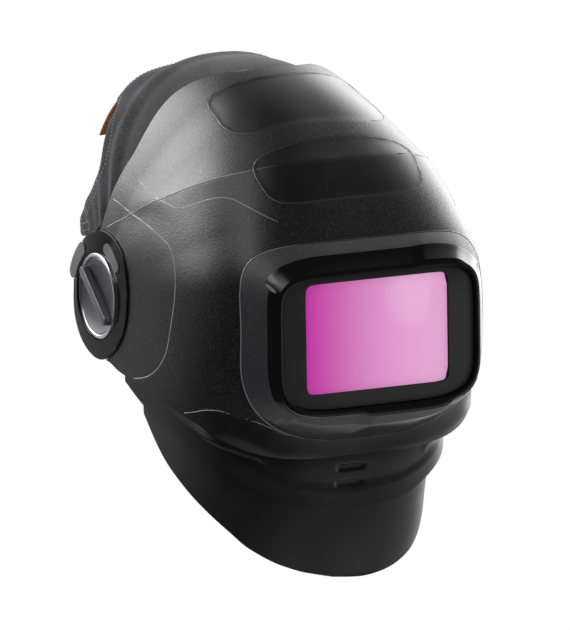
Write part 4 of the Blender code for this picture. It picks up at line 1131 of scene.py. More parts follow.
def frame_loop(edge, brow, lip):
    """All the rings, closed round the section and round the window."""
    side = np.abs(brow[:, 0]) / (FRAME_HALF * MM)
    bottom, top = brow[:, 2] < -0.045, brow[:, 2] > 0.045
    wide = 0.56 + 0.10 * ramp(side, 0.5, 0.9) - 0.16 * top + 0.06 * bottom
    inner, hole = plate_outline(GAP + 0.05, RING), plate_outline(-1.0, RING)
    rings = [
        edge + np.array((0, FRAME_DEEP * MM, 0)), edge, blend(edge, brow, 0.6, 0.2), brow,
        blend(brow, lip, 0.04, 0.5), blend(brow, lip, wide * 0.5, 1.5), blend(brow, lip, wide, 2.2),
        blend(brow, lip, wide + 0.035, 2.1), blend(brow, lip, wide + 0.2, 1.0), blend(brow, lip, 0.94, 0.1),
        lip, blend(lip, flat_ring(inner, -2.6), 0.55, 0.35), flat_ring(inner, -2.5), flat_ring(inner, -1.9),
        flat_ring(inner, 2.35), flat_ring(hole, 2.35), flat_ring(hole, HOLE_DEEP),
    ]
    loop = np.stack(rings + rings[:1])
    return np.concatenate([loop, loop[:, :1]], axis=1)


print(RING, "places round each ring of the frame")

# %% [markdown]
# The frame's underside is cut to the shell, so that it sits down on it with a hairline gap. A bead along
# the edge of the etched flat is the bright line that a moulded rim shows, painted lighter at the sides as a
# painted highlight.

# %% The front frame
ETCHED_FLAT, ETCHED_LIP, LIP_FROM = (3, 6), (7, 12), -0.052  # rings that are etched, and below which height


def etched_share(points, loop):
    """1 on the etched flat between the outer edge and the chamfer, and along the lip below the plate."""
    ring = np.repeat(np.arange(len(loop)), loop.shape[1])
    search = KDTree(len(ring))
    for i, point in enumerate(loop.reshape(-1, 3)):
        search.insert(point, i)
    search.balance()
    ring = np.array([ring[search.find(point)[1]] for point in points])
    first, last = np.where(points[:, 2:] < LIP_FROM, ETCHED_LIP, ETCHED_FLAT).T
    return ((ring >= first) & (ring <= last)).astype(float)


def make_front_frame():
    brow = frame_outline(-0.6, FRAME_PROUD)
    loop = frame_loop(frame_outline(0, 0), brow, lip_ring())
    piece = net("front_frame_piece", loop)
    mark(piece, "etched", etched_share(points_of(piece), loop))
    modify(piece, "SUBSURF", levels=1, subdivision_type="SIMPLE")
    in_window(piece)
    cut(piece, fan_solid("skin", SHELL, SHELL_HALF, GAP + 0.3, round_trip(LOW_ANGLE, 60, 1.6), 161))
    line = np.concatenate([brow, brow[:1]]) - (0, 0.1 * MM, 0)
    rim = in_window(bead("frame_rim", line, 0.45 * MM, tapered=False))
    # painted highlight: the rim bead is painted lighter towards the sides, at half strength
    painted_side_highlight(rim, 40, 0.5)
    finish_piece(smooth_shade(rim, 60), SEAM, slot="front_frame")
    return finish_piece(smooth_shade(piece, 28), ETCHED, ["front_frame"])


front_frame = make_front_frame()
print("front frame", len(front_frame.data.polygons), "faces")

# %% [markdown]
# **Cover plate and filter.** Both are flat slabs with round corners, so they are outlines pushed out and
# bevelled. The plate is 2 mm thick and the filter lies just behind it, where its printed border leaves a
# clear field.

# %% The cover plate and the filter's glass
FIELD_HALF, FIELD_HIGH = 54.5, 36.8  # half of the clear field
GLASS_HALF, GLASS_HIGH, GLASS_FRONT, GLASS_WALL, GLASS_CORNER = 55.3, 37.6, 3.05, 3.0, 14
PLATE_WALL = 2.0


def soft_block(name, outline, front, back, edge, material, node):
    """Rounded slab in the window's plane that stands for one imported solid."""
    piece = prism(name, outline, "Y", front * MM, back * MM, edge * MM)
    return finish_piece(smooth_shade(in_window(piece), 50), material, [node])


centre = (0, 0, WINDOW_AT.z)
PLATE = printed_plate(centre, FIELD_HALF * MM, FIELD_HIGH * MM)
FILTER = filter_coating_and_painted_reflection(centre, FIELD_HALF * MM)
soft_block("cover_plate_piece", plate_outline(0, 200), 0.0, PLATE_WALL, 0.25, PLATE, "cover_plate")
glass = rounded_box(GLASS_HALF, -GLASS_HIGH, GLASS_HIGH, GLASS_CORNER, GLASS_CORNER)
glass_back = GLASS_FRONT + GLASS_WALL
soft_block("filter_glass_piece", glass, GLASS_FRONT, glass_back, 0.2, FILTER, "filter_glass")
print("clear field", 2 * FIELD_HALF, "x", 2 * FIELD_HIGH, "mm")

# %% [markdown]
# **The bezels.** A bezel follows the shell's side, so a flat prism is cut to the same fan surface a little
# further out. The bore takes the knob, and a pocket takes each of the two sprung pads.

# %% Bezels and pads
PADS = (("front", 57, 0.0), ("rear", 146, 3.0))  # end, angle of its middle, how much further out it reaches
KNOB_R, KNOB_TILT, KNOB_OUT = 28.6, math.radians(4.2), 1.5
BORE_MARGIN, BORE_DEEP = 0.5, 20
PAD_MARGIN, PAD_REACH, PAD_HALF_ANGLE, PAD_ARC = 2.6, 38.5, 15, 13
BEZEL_PROUD, PAD_PROUD, POCKET_FLOOR, PAD_BACK = 1.2, 2.0, 0.6, 2.1


def pad_outline(middle, out, grow):
    """Curved pad with round ends, about the pivot."""
    inner, outer = KNOB_R + PAD_MARGIN, PAD_REACH + out
    radius, half = (inner + outer) / 2, (outer - inner) / 2 + grow
    points = []
    for sign in (1, -1):
        spot = math.radians(middle + sign * PAD_HALF_ANGLE)
        middle_point = radius * np.array((-math.cos(spot), math.sin(spot)))
        turn = spot + (0 if sign > 0 else math.pi) + np.linspace(0, np.pi, 16)
        points.append(middle_point + half * np.stack([-np.cos(turn), np.sin(turn)], -1))
        arc = np.radians(np.linspace(middle + sign * PAD_ARC, middle - sign * PAD_ARC, 14))
        reach = radius - sign * half
        points.append(reach * np.stack([-np.cos(arc), np.sin(arc)], -1))
    return np.concatenate(points) * MM


def knob_place(side):
    """Turn and place of a knob, which leans with the shell's side."""
    out = Vector((side * math.cos(KNOB_TILT), math.sin(KNOB_TILT), 0))
    up = Vector((0, 0, 1))
    turn = Matrix((up.cross(out), up, out)).transposed().to_4x4()
    return Matrix.Translation((side * (SHELL_HALF + KNOB_OUT) * MM, 0, 0)) @ turn


def shell_skin(out):
    """The shell's surface as a solid, this much further out."""
    return fan_solid("skin", SHELL, SHELL_HALF, out, round_trip(-60, 240, 2.5), 241)


def make_bezel(word, side):
    piece = side_prism("bezel_piece", side, polar_outline(0), SEAT_FACE + GAP)
    bore_r = KNOB_R + BORE_MARGIN
    bore = turned("bore", [(0, -BORE_DEEP), (bore_r, -BORE_DEEP), (bore_r, BORE_DEEP), (0, BORE_DEEP)])
    bore.data.transform(knob_place(side))
    cut(piece, bore)
    for _, middle, out in PADS:
        cut(piece, side_prism("pocket", side, pad_outline(middle, out, GAP), SEAT_FACE + POCKET_FLOOR))
    cut(piece, shell_skin(BEZEL_PROUD), "INTERSECT")
    bevel(piece, 0.35 * MM, 40)
    return finish_piece(smooth_shade(piece), GLOSS, [f"pivot_bezel_{word}"])


def make_pad(word, side, end, middle, out):
    piece = side_prism("pad_piece", side, pad_outline(middle, out, 0), SHELL_HALF - PAD_BACK)
    cut(piece, shell_skin(PAD_PROUD), "INTERSECT")
    bevel(piece, 0.5 * MM, 40)
    return finish_piece(smooth_shade(piece), PAD, [f"{end}_pad_{word}"])


print("pads stand", round(PAD_PROUD - BEZEL_PROUD, 2), "mm above the bezels")

# %% [markdown]
# **The knobs.** A knob is a shallow dish, so its section is spun about the axis. Its grip is a bar with
# round ends that stands in the dish and leans the same way on both sides. The polished ring is marked on
# the points near the rim.

# %% Knobs
GRIP_TURN, GRIP_END, GRIP_LOW, GRIP_HIGH = 40, 3.2, -3.4, 1.6


def make_grip():
    """The bar of the grip, lying in the dish."""
    half = KNOB_R - 3.4
    turn = np.linspace(-np.pi / 2, np.pi / 2, 12)
    cap = np.stack([half - GRIP_END + GRIP_END * np.cos(turn), GRIP_END * np.sin(turn)], -1)
    outline = np.concatenate([cap, -cap]) * MM
    return prism("grip", outline, "Y", GRIP_LOW * MM, GRIP_HIGH * MM, 0.7 * MM, 4)


def make_knob(word, side):
    r = KNOB_R
    profile = [
        (0, -3.8), (r - 0.4, -3.8), (r, -3.4), (r, -0.5), (r - 0.35, -0.1), (r - 0.8, 0), (r - 1.9, 0),
        (r - 2.3, -0.3), (r - 2.5, -1.0), (r - 2.9, -1.05), (r - 3.3, -0.7), (r - 4.2, -1.0), (r - 8, -2.0),
        (r - 14, -2.7), (8, -2.95), (0, -3.0),
    ]
    dish = turned("knob_piece", profile)
    bar = make_grip()
    lean = Matrix.Rotation(math.radians(GRIP_TURN) * side, 4, "Z")
    bar.data.transform(lean @ Matrix.Rotation(math.radians(90), 4, "X"))
    bar.data.transform(Matrix.Diagonal((1, 1, -1, 1)))
    edit(bar, face_out)
    knob = join("knob_piece", [dish, bar])
    points = points_of(knob)
    ring = (np.hypot(points[:, 0], points[:, 1]) > (r - 2.4) * MM) & (points[:, 2] > -1.2 * MM)
    mark(knob, "rim", ring.astype(float))
    knob.data.transform(knob_place(side))
    return finish_piece(smooth_shade(knob, 40), KNOB, [f"tension_knob_{word}"])


for word, side in (("right", -1), ("left", 1)):
    make_bezel(word, side)
    make_knob(word, side)
    for end, middle, out in PADS:
        make_pad(word, side, end, middle, out)
print("pivots made")

# %% [markdown]
# **Chin cover and throat guard.** Both are sheets round the chin whose sections are squarish. A table gives
# the section at each height, and the upper and lower edges are curves over the angle from the front.

# %% Sections and edges round the chin
CHIN_ROWS = (  # height, half width, reach, exponent
    (-136, 96.5, 136.5, 3.9), (-120, 97.5, 138.5, 3.9), (-94, 99.5, 143.5, 3.8), (-70, 99.8, 142, 3.7),
    (-45, 100.3, 138, 3.6),
)
GUARD_ROWS = (
    (-182, 90, 117, 4.0), (-165, 92, 122.5, 4.0), (-150, 93, 126.5, 4.0), (-130, 93.5, 130.5, 3.9),
    (-110, 94, 133.5, 3.9), (-60, 96.5, 136, 3.8),
)
CHIN_TOP = ((0, -86), (20, -85), (40, -76), (60, -63), (69, -57), (78, -46), (84, -41))
CHIN_EDGE = (
    (0, -133), (22, -127.5), (41, -107.5), (52, -93), (60, -83.5), (74, -70.5), (84, -57),
)
GUARD_TOP = ((0, -122), (22, -118), (41, -101), (52, -87.5), (65, -74.5), (77, -62))
GUARD_EDGE = (
    (0, -182), (13, -180.5), (24, -176), (36, -164.5), (43, -153), (52, -138), (59, -125), (67, -108),
    (77, -80),
)
SIDE_HANG = {"chin": 1.0, "guard": 8.0}  # how much lower the edge hangs on the wearer's left


def bib_points(rows, turn, z, out=0.0):
    """Points round the chin in metres, at an angle from the front and a height."""
    c, s = square_circle(np.radians(turn), along(rows, z, 3))
    return np.stack([(along(rows, z) + out) * s, -(along(rows, z, 2) + out) * c, z], -1) * MM


def bib_grid(top, edge, hang, turns, steps):
    """Angles, shares of the way down, and heights between an upper and a lower edge."""
    turn, share = np.meshgrid(turns, np.linspace(0, 1, steps))
    high = along(top, np.abs(turn))
    low = along(edge, np.abs(turn)) - hang * np.sin(np.radians(2 * turn))
    return turn, share, high + (low - high) * share


print("chin cover from", CHIN_TOP[0][1], "to", CHIN_EDGE[0][1], "mm")

# %% [markdown]
# The chin cover is moulded: a dark upper face with a flute on each side and two blind slots, and a lower
# band that flares. The flutes and slots are a millimetre or two deep, which a fine net can hold, so they
# are pressed into it along lines.

# %% The chin cover
CHIN_TURN, CHIN_WALL, DEGREE = 84, 2.2, 1.75  # DEGREE: millimetres for one degree round the chin
FLUTE = ((57, -71), (48, -80.5), (40, -86.5), (34.5, -90.5), (32, -94), (31, -97.5))
FLUTE_HALF, FLUTE_HEIGHT = 4.6, 2.0
SLOTS, SLOT_LONG, SLOT_HALF = ((-103, 1.9), (-114, 1.2)), 4.9, 3.4  # height and depth of each slot


def line_dip(turn, z, points, half, depth):
    """Depth of a groove or height of a bead along a line of places (angle, height)."""
    places = np.stack([turn * DEGREE, z], -1).reshape(-1, 2)
    line = np.asarray(points, float) * (DEGREE, 1)
    gap = np.abs(signed_distance(places, line)).reshape(turn.shape)
    return depth * ramp(-gap, -half, -half * 0.25)


def make_chin():
    turns = np.linspace(-CHIN_TURN, CHIN_TURN, 337)
    turn, share, z = bib_grid(CHIN_TOP, CHIN_EDGE, SIDE_HANG["chin"], turns, 90)
    below = along(CHIN_EDGE, np.abs(turn)) - SIDE_HANG["chin"] * np.sin(np.radians(2 * turn))
    out = 1.5 * ramp(-(z - below), -19, -11) * ramp(-np.abs(turn), -76, -40)
    for side in (-1, 1):
        flute = rounded(np.array(FLUTE) * (side, 1), 30)
        out += line_dip(turn, z, flute, FLUTE_HALF, FLUTE_HEIGHT) * hill(np.abs(turn), 42.5, 4.5, 9)
    for height, depth in SLOTS:
        out -= line_dip(turn, z, [(-SLOT_LONG, height), (SLOT_LONG, height)], SLOT_HALF, depth)
    out = np.where(share < 0.02, np.minimum(out, 0), out)
    cover = thick("chin_cover_piece", bib_points(CHIN_ROWS, turn, z, out), CHIN_WALL)
    return finish_piece(smooth_shade(cover, 40), SATIN, ["chin_cover"])


chin = make_chin()
print("chin cover", len(chin.data.polygons), "faces")

# %% [markdown]
# The throat guard is moulded from a rubbery sheet and hangs from the chin cover. It keeps its shape, so it
# only gets a slight wave that grows towards its free edge. The face seal is thin elastic cloth from the
# chin cover in towards the cheeks, gathered in small folds.

# %% The throat guard and the face seal
GUARD_TURN, GUARD_WALL = 77, 1.6
SEAL_LINE = ((0, -94), (22, -92), (41, -85), (52, -76), (65, -64.5), (78, -54))
SEAL_TURN, SEAL_WALL, SEAL_FOLD = 66, 1.2, 0.7


def make_guard():
    turns = np.linspace(-GUARD_TURN, GUARD_TURN, 233)
    turn, share, z = bib_grid(GUARD_TOP, GUARD_EDGE, SIDE_HANG["guard"], turns, 60)
    broad, fine = np.sin(np.radians(turn * 5.2) + 0.8), np.sin(np.radians(turn * 11) + 2)
    drape = 0.9 * broad * share + 0.5 * fine * share**2
    guard = thick("throat_guard_piece", bib_points(GUARD_ROWS, turn, z, drape - 0.5), GUARD_WALL)
    return finish_piece(smooth_shade(guard, 40), RUBBER, ["throat_guard"])


def make_face_seal():
    turn, share = np.meshgrid(np.linspace(-SEAL_TURN, SEAL_TURN, 265), np.linspace(0, 1, 30))
    inset = along(((0, 3.5), (0.33, 12), (0.66, 24), (1, 35)), share)
    rise = along(((0, 0), (0.33, -3), (0.66, -1), (1, 5)), share)
    fold = SEAL_FOLD * np.sin(np.radians(turn * 26)) * share * (1 - 0.4 * share)
    z = along(SEAL_LINE, np.abs(turn)) + rise + fold
    seal = thick("face_seal_piece", bib_points(CHIN_ROWS, turn, z, -inset), SEAL_WALL)
    return finish_piece(smooth_shade(seal, 50), CLOTH, ["face_seal"])


guard, face_seal = make_guard(), make_face_seal()
print("guard and seal:", len(guard.data.polygons), len(face_seal.data.polygons), "faces")

# %% [markdown]
# **Inner visor.** Carrier, clear visor and seal are cut from their own fan, just inside the shell, with the
# same Booleans as the solids but in finer steps. One function cuts all three, because they differ only in
# how far out they lie, in their wall and in their outline.

# %% Inner visor
SIGHT_SIDE = (
    (-46, 8), (-50, 20), (-62, 36), (-84, 52), (-108, 59.5), (-190, 61.5), (-190, -78), (-132, -77),
    (-104, -62), (-70, -40), (-50, -18),
)
CARRIER_SIDE = (
    (-30, 42), (-60, 66), (-88, 88), (-104, 103), (-112, 108), (-180, 108), (-185, 0),
    (-180, -94), (-128, -94), (-112, -82), (-85, -66), (-50, -46), (-20, -30),
)
BOLT_HOLE, HOLE_FROM, EAR = 5.5, 81.5, 26
CARRIER_WALL, CLEAR_IN, CLEAR_WALL, SEAL_IN, SEAL_DEEP = 2.4, 2.75, 2.0, 5.1, 2.2
OVERLAP, SEAL_HOLE = 5, -4  # how much larger than the sight these outlines are


def grown(points, by):
    """Outline in millimetres, this much larger about its middle."""
    away = points - points.mean(0)
    return points + away / np.linalg.norm(away, axis=1, keepdims=True) * by


def visor_patch(name, out, wall, keep):
    """Stretch of the visor's fan, this far out and this thick, inside an outline from the side."""
    angles = round_trip(-60, 60, 2.5)
    patch = side_cut(fan_solid(name, VISOR, VISOR_HALF, out, angles, 121), keep)
    return cut(patch, fan_solid("hollow", VISOR, VISOR_HALF, out - wall, angles, 121))


def make_visor():
    arc = np.radians(np.linspace(-90, 90, 37))
    ear = EAR * np.stack([np.cos(arc), np.sin(arc)], -1)
    sight = np.asarray(SIGHT_SIDE, float)
    carrier = visor_patch("visor_frame_piece", 0, CARRIER_WALL, np.concatenate([ear, CARRIER_SIDE]))
    side_cut(carrier, sight, "DIFFERENCE")
    for side in (-1, 1):
        turn = np.linspace(0, 2 * np.pi, 48, endpoint=False)
        hole = BOLT_HOLE * np.stack([np.cos(turn), np.sin(turn)], -1) * MM
        cut(carrier, side_prism("hole", side, hole, HOLE_FROM))
    clear = visor_patch("clear_visor_piece", -CLEAR_IN, CLEAR_WALL, grown(sight, OVERLAP))
    seal = visor_patch("visor_seal_piece", -SEAL_IN, SEAL_DEEP, grown(sight, OVERLAP))
    side_cut(seal, grown(sight, SEAL_HOLE), "DIFFERENCE")
    finish_piece(smooth_shade(carrier, 30), MATT, ["visor_frame"])
    finish_piece(smooth_shade(clear, 30), CLEAR, ["clear_visor"])
    finish_piece(smooth_shade(seal, 30), RUBBER, ["visor_seal"])


make_visor()
print("visor made")

# %% [markdown]
# **The head cover.** It is sewn from three gores of cloth with welted seams, and it stretches over the
# crown. A dome with its poles at the ears has no pinch where it shows. The seams are dips pressed in along
# two lines on each side, and the free cloth behind the shield is a little slack.

# %% The head cover
COVER_CENTRE, COVER_RADII = (0, 10, 20), (96, 108, 128)
COVER_SIDE = (
    (-46, 175), (-46, 128), (-36, 96), (-8, 62), (26, 52), (44, 36), (52, 8), (62, -6), (90, -8),
    (140, -8), (160, 60), (140, 175),
)
COVER_WALL, COVER_FREE = 1.8, (48, 60)  # where the cloth stops being held, and where it is free
WELT, WELT_WIDE, WELT_DEEP = (34, 36.5), 1.1, 0.7


def dome(name, grow, columns=180, rows=120):
    """Ellipsoid of the head cover, with its poles on X."""
    turns, leans = np.linspace(0, 2 * np.pi, columns + 1), np.linspace(-np.pi / 2, np.pi / 2, rows + 1)
    turn, lean = np.meshgrid(turns, leans)
    radii = np.asarray(COVER_RADII) + grow
    unit = np.stack([np.sin(lean), np.cos(lean) * np.cos(turn), np.cos(lean) * np.sin(turn)], -1)
    return net(name, (np.asarray(COVER_CENTRE) + radii * unit) * MM)


def make_cover():
    cover = dome("head_cover_piece", 0)
    side_cut(cover, COVER_SIDE)
    cut(cover, dome("hollow", -COVER_WALL, 90, 60))
    points = points_of(cover)
    x, y, z = (points / MM).T
    outwards = points / MM - COVER_CENTRE
    outwards /= np.linalg.norm(outwards, axis=1, keepdims=True)
    seam = np.minimum(np.abs(np.abs(x) - WELT[0]), np.abs(np.abs(x) - WELT[1]))
    slack = 0.5 * np.sin(x / 13 + 1) * np.sin(y / 17) + 0.5 * np.sin(z / 9 + x / 30)
    dip = -WELT_DEEP * np.exp(-(seam / WELT_WIDE) ** 2) + 0.4 * slack - 0.4
    move_points(cover, points + outwards * (dip * ramp(y, *COVER_FREE))[:, None] * MM)
    return finish_piece(smooth_shade(cover, 50), CLOTH, ["head_cover"])


cover = make_cover()
print("head cover", len(cover.data.polygons), "faces")

# %% [markdown]
# **The leather strip.** It lies over the front of the cover and is tucked under the edge of the shield, so
# it bunches into ridges that run round the head. Cloth simulation would give folds of its own choosing.
# Here each ridge and valley is a smooth hump at its own distance behind the edge, and a few small waves
# break them up.

# %% The leather strip
BAND_SIDE = (
    (-58, 175), (-56, 128), (-44, 96), (-30, 74), (-12, 59), (8, 47), (26, 37), (42, 33), (47, 42),
    (42, 56), (35, 68), (36, 82), (48.5, 100), (62, 110.5), (72, 116), (74, 119), (72, 122), (73, 126),
    (74, 175),
)
BAND_WALL, BAND_FROM, BAND_TO = 1.5, 55, 160
SHIELD_EDGE, EDGE_DROP = 99, 12  # angle of the shield's edge in the middle, and its drop to the sides


def band_folds(points):
    """How far out the leather stands: ridges that run round the head behind the shield's edge."""
    angle, across, _ = fan_place(BAND, BAND_HALF, points)
    wide = np.abs(across)
    edge = SHIELD_EDGE - EDGE_DROP * ramp(wide, 0.3, 0.9)
    away = angle - edge + 2.0 * np.sin(across * 4 + 0.6) + 0.8 * np.sin(across * 13)
    ridge = 0.8 * np.exp(-(((away - 4.5) / 2.6) ** 2)) + np.exp(-(((away - 17) / 3.2) ** 2))
    valley = np.exp(-(((away - 10.5) / 3.2) ** 2)) * (0.7 + 0.3 * np.sin(across * 5 + 1))
    corner = 2.6 * np.exp(-(((wide - 0.27) / 0.13) ** 2)) * ramp(away, 9, 18)
    full = 2.9 + ramp(wide, 0.12, 0.42) * ramp(-wide, -0.95, -0.6)
    small = 0.35 * np.sin(away / 1.7 + 5 * across) * np.sin(across * 19)
    lift = full * ramp(away, 0, 7) + corner + 1.1 * ridge - 2.6 * valley + small * ramp(away, 4, 9)
    return lift * (1 - 0.9 * hill(wide, 0.5, 0.09, 0.08) * ramp(away, 15, 21))


def make_band():
    angles = round_trip(BAND_FROM, BAND_TO, 1.2)
    band = fan_solid("leather_band_piece", BAND, BAND_HALF, 0, angles, 241)
    side_cut(band, np.concatenate([rounded(BAND_SIDE[1:-1], 160), BAND_SIDE[-1:], BAND_SIDE[:1]]))
    cut(band, fan_solid("hollow", BAND, BAND_HALF, -BAND_WALL, angles, 241))
    points = points_of(band)
    angle, across, _ = fan_place(BAND, BAND_HALF, points)
    lift = band_folds(points)
    move_points(band, points + fan_normal(BAND, BAND_HALF, angle, across) * lift[:, None] * MM)
    return finish_piece(smooth_shade(band, 50), LEATHER, ["leather_band"])


band = make_band()
print("leather strip", len(band.data.polygons), "faces")

# %% [markdown]
# **Stitches.** Two rows of lock stitch run round the rear edge of the leather. A stitch is only a few
# faces, so it is modelled as a short bead of thread. Each one follows the folds of the leather and lies
# half sunk in its nap.

# %% Stitches on the leather
HEM = BAND_SIDE[6:14] + ((70, 117), (73, 126), (74, 150))  # rear edge, smoothed over the crown
STITCH_ROWS, PITCH, STITCH, THREAD_R = (3.2, 8.4), 3.1, 2.1, 0.5


def rear_edge(inset):
    """Line on the leather at this many millimetres from its rear edge, from the right side to the left."""
    side = rounded(HEM, 260)
    step = np.gradient(side, axis=0)
    away = np.stack([-step[:, 1], step[:, 0]], -1) / np.linalg.norm(step, axis=1, keepdims=True)
    side = side + away * inset
    angle = np.degrees(np.arctan2(side[:, 1], -side[:, 0]))
    c = np.hypot(*side.T) / along(BAND, angle)
    n = along(BAND, angle, 2)
    on, c = c < 1, np.minimum(c, 1)
    across = np.arctan2((1 - c**n) ** (1 / n), c) * 2 / np.pi
    half = np.stack([angle[on], across[on]], -1)
    return np.concatenate([half * (1, -1), half[::-1]])


def make_stitches(inset):
    angle, across = rear_edge(inset).T
    points = fan(BAND, BAND_HALF, angle, across)
    lift = (band_folds(points) + 0.1)[:, None] * MM
    points = points + fan_normal(BAND, BAND_HALF, angle, across) * lift
    run = np.concatenate([[0], np.cumsum(np.linalg.norm(np.diff(points, axis=0), axis=1))]) / MM
    beads = []
    for start in np.arange(4, run[-1] - 6, PITCH):
        at = np.linspace(start, start + STITCH, 9)
        row = np.stack([np.interp(at, run, points[:, k]) for k in range(3)], -1)
        beads.append(bead("stitch", row, THREAD_R * MM))
    stitches = smooth_shade(join("stitches", beads), 60)
    return finish_piece(stitches, THREAD, slot="leather_band")


for inset in STITCH_ROWS:
    print("stitches", len(make_stitches(inset).data.polygons), "faces")

# %% [markdown]
# **Air path.** The rear duct is blow-moulded with ribs that stop it from flattening. The ribs are rings
# about the crown's axis, so they are cut by the head cover's own dome where they meet the cloth, and joined
# to a copy of the duct.

# %% The rear duct
DUCT_HALF, DUCT_OUTER, DUCT_INNER = 32, 147.8, 117
RIB = dict(first=139, last=166, count=8, proud=1.1, half_turn=0.75)


def sector(inner, outer, start, end, count=24):
    """Stretch of a ring about the pivots, seen from the side, between two angles from the front."""
    turn = np.radians(np.linspace(start, end, count))
    arc = np.stack([-np.cos(turn), np.sin(turn)], -1)
    return np.concatenate([outer * arc, inner * arc[::-1]]) * MM


def make_duct():
    duct = copy_of("rear_duct")
    ribs = []
    out, core = (DUCT_HALF + 1) * MM, (DUCT_HALF - 0.5) * MM
    for middle in np.linspace(RIB["first"], RIB["last"], RIB["count"]):
        low, high = middle - RIB["half_turn"], middle + RIB["half_turn"]
        outline = sector(DUCT_INNER + 6, DUCT_OUTER + RIB["proud"], low, high, 4)
        ribs.append(prism("rib", outline, "X", -out, out, 0.6 * MM))
    rib = join("ribs", ribs)
    cut(rib, prism("core", sector(100, DUCT_OUTER - 0.5, 130, 175), "X", -core, core))
    cut(rib, dome("under", 0.6))
    cut(duct, rib, "UNION")
    bevel(duct, 0.4 * MM, 50, 2)
    return finish_piece(smooth_shade(duct, 45), GLOSS, ["rear_duct"])


make_duct()
print("duct with", RIB["count"], "ribs")

# %% [markdown]
# A tan leather tab covers the duct's upper end. It is a flat piece laid over a ring, so its points are
# given by an angle and a width. A groove along its edge stands for the crease that is pressed beside a cut
# edge. Under it the inlet is turned: a socket, a seal and a swivel with a grip ring and barbs for the
# breathing tube.

# %% Leather tab and inlet
TAB_FROM, TAB_TO, TAB_HALF, TAB_WALL = 122.4, 145, 43.5, 1.1
TAB_LONG, TAB_EDGE = 58, 44  # millimetres from end to end, and half the width of its pattern
INLET_BACK, INLET_R, TURN_STEPS = 134, 11.5, 72
INLET = {  # node: finish and profile of radius and height
    "inlet_socket": (MATT, (
        (INLET_R, 7), (14.4, 7), (15, 7.6), (15, 10), (14.2, 10.4), (14.2, 11.6), (15, 12), (15, 19),
        (14.2, 19.6), (14.2, 21.4), (13.6, 22), (INLET_R, 22), (INLET_R, 7),
    )),
    "inlet_seal": (RUBBER, (
        (INLET_R, 4.65), (13.4, 4.65), (14, 5.1), (13.6, 5.65), (14, 6.2), (13.4, 6.65), (INLET_R, 6.65),
        (INLET_R, 4.65),
    )),
    "inlet_swivel": (GLOSS, (
        (INLET_R, -17.7), (12.2, -17.7), (12.9, -16.6), (12.4, -15.6), (12.4, -14.6), (13, -13.4),
        (12.4, -12.4), (12.4, -10.8), (13, -9.6), (12.4, -8.4), (12.4, -1), (13.2, 0.2), (14.4, 0.3),
        (15, 0.9), (15, 3.7), (14.4, 4.3), (INLET_R, 4.3), (INLET_R, -17.7),
    )),
}


def make_tab():
    turns, widths = np.linspace(TAB_FROM, TAB_TO, 60), np.linspace(-TAB_HALF, TAB_HALF, 140)
    angle, x = np.meshgrid(turns, widths)
    share = (angle - TAB_FROM) / (TAB_TO - TAB_FROM)
    edge = np.minimum(np.minimum(share, 1 - share) * TAB_LONG, TAB_EDGE - np.abs(x))
    crease = 0.25 * np.sin(x / 5 + 3 * share) * np.sin(x / 13) + 0.2 * np.sin(share * 9 + x / 9)
    groove = 0.45 * np.exp(-(((edge - 3.2) / 0.5) ** 2))
    fall = 0.8 * ramp(-edge, -1.2, 0) + 1.6 * ramp(np.abs(x), 33, 43)
    reach = DUCT_OUTER + GAP + 1.75 + crease - groove - fall
    turn = np.radians(angle)
    points = np.stack([x, -reach * np.cos(turn), reach * np.sin(turn)], -1) * MM
    tab = thick("tab_piece", points, TAB_WALL)
    return finish_piece(smooth_shade(tab, 60), TAN, ["rear_patch"])


make_tab()
for node, (finish, profile) in INLET.items():
    piece = turned(f"{node}_piece", profile, TURN_STEPS)
    piece.data.transform(Matrix.Translation((0, INLET_BACK * MM, 0)))
    finish_piece(smooth_shade(piece, 40), finish, [node])
print("tab and", len(INLET), "inlet parts made")

# %% [markdown]
# **Harness.** The bands are moulded strips whose solids already have the right shape, so each is a copy
# with its flat faces joined up and its edges rounded.


# %% Bands, bolts and the crown duct
def softened(node, material, edge=0.4):
    """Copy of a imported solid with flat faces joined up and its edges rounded."""
    piece = copy_of(node)
    edit(piece, lambda: bpy.ops.mesh.dissolve_limited(angle_limit=math.radians(0.5)))
    bevel(piece, edge * MM, 35, 2, use_clamp_overlap=True, harden_normals=False)
    return finish_piece(smooth_shade(piece, 40), material, [node])


STRAPS = {
    "headband_front": MATT, "crown_strap_front": MATT, "crown_strap_rear": MATT, "rear_strap": MATT,
    "side_arm_right": MATT, "side_arm_left": MATT, "crown_duct": MATT, "air_deflector": GREY,
    "ratchet_housing": MATT, "pivot_bolt_right": STEEL, "pivot_bolt_left": STEEL,
}
for node, finish in STRAPS.items():
    softened(node, finish)
print(len(STRAPS), "harness parts made")

# %% [markdown]
# The brow and nape pads are foam in cloth. Each is one closed cushion swept along its band: crowned across,
# thinner at the ends, and pulled in where it is sewn through.

# %% Pads
BROW_LINE = ((0, 62), (40, 59), (100, 34), (120, 27))
NAPE_LINE = ((94, 34), (104, 32), (120, 26), (150, -26), (180, -34))
HEAD_HALF, HEAD_MIDDLE, HEAD_FRONT, HEAD_REAR, HEAD_SQUARE = 79, 5, 97, 95, 2.3
PAD_SQUARE, PAD_RINGS, PAD_FULL = 3.2, 100, 0.94
CHANNEL_DEEP, CHANNEL_WIDE = 0.45, 0.045  # share of the foam, and share of the way to the next channel


def head_point(turn, grow, z):
    """Point in millimetres on the line of the headband, at an angle from the front."""
    c, s = square_circle(np.radians(turn), HEAD_SQUARE)
    reach = np.where(c > 0, HEAD_FRONT, HEAD_REAR)
    return np.stack(np.broadcast_arrays((HEAD_HALF + grow) * s, HEAD_MIDDLE - (reach + grow) * c, z), -1)


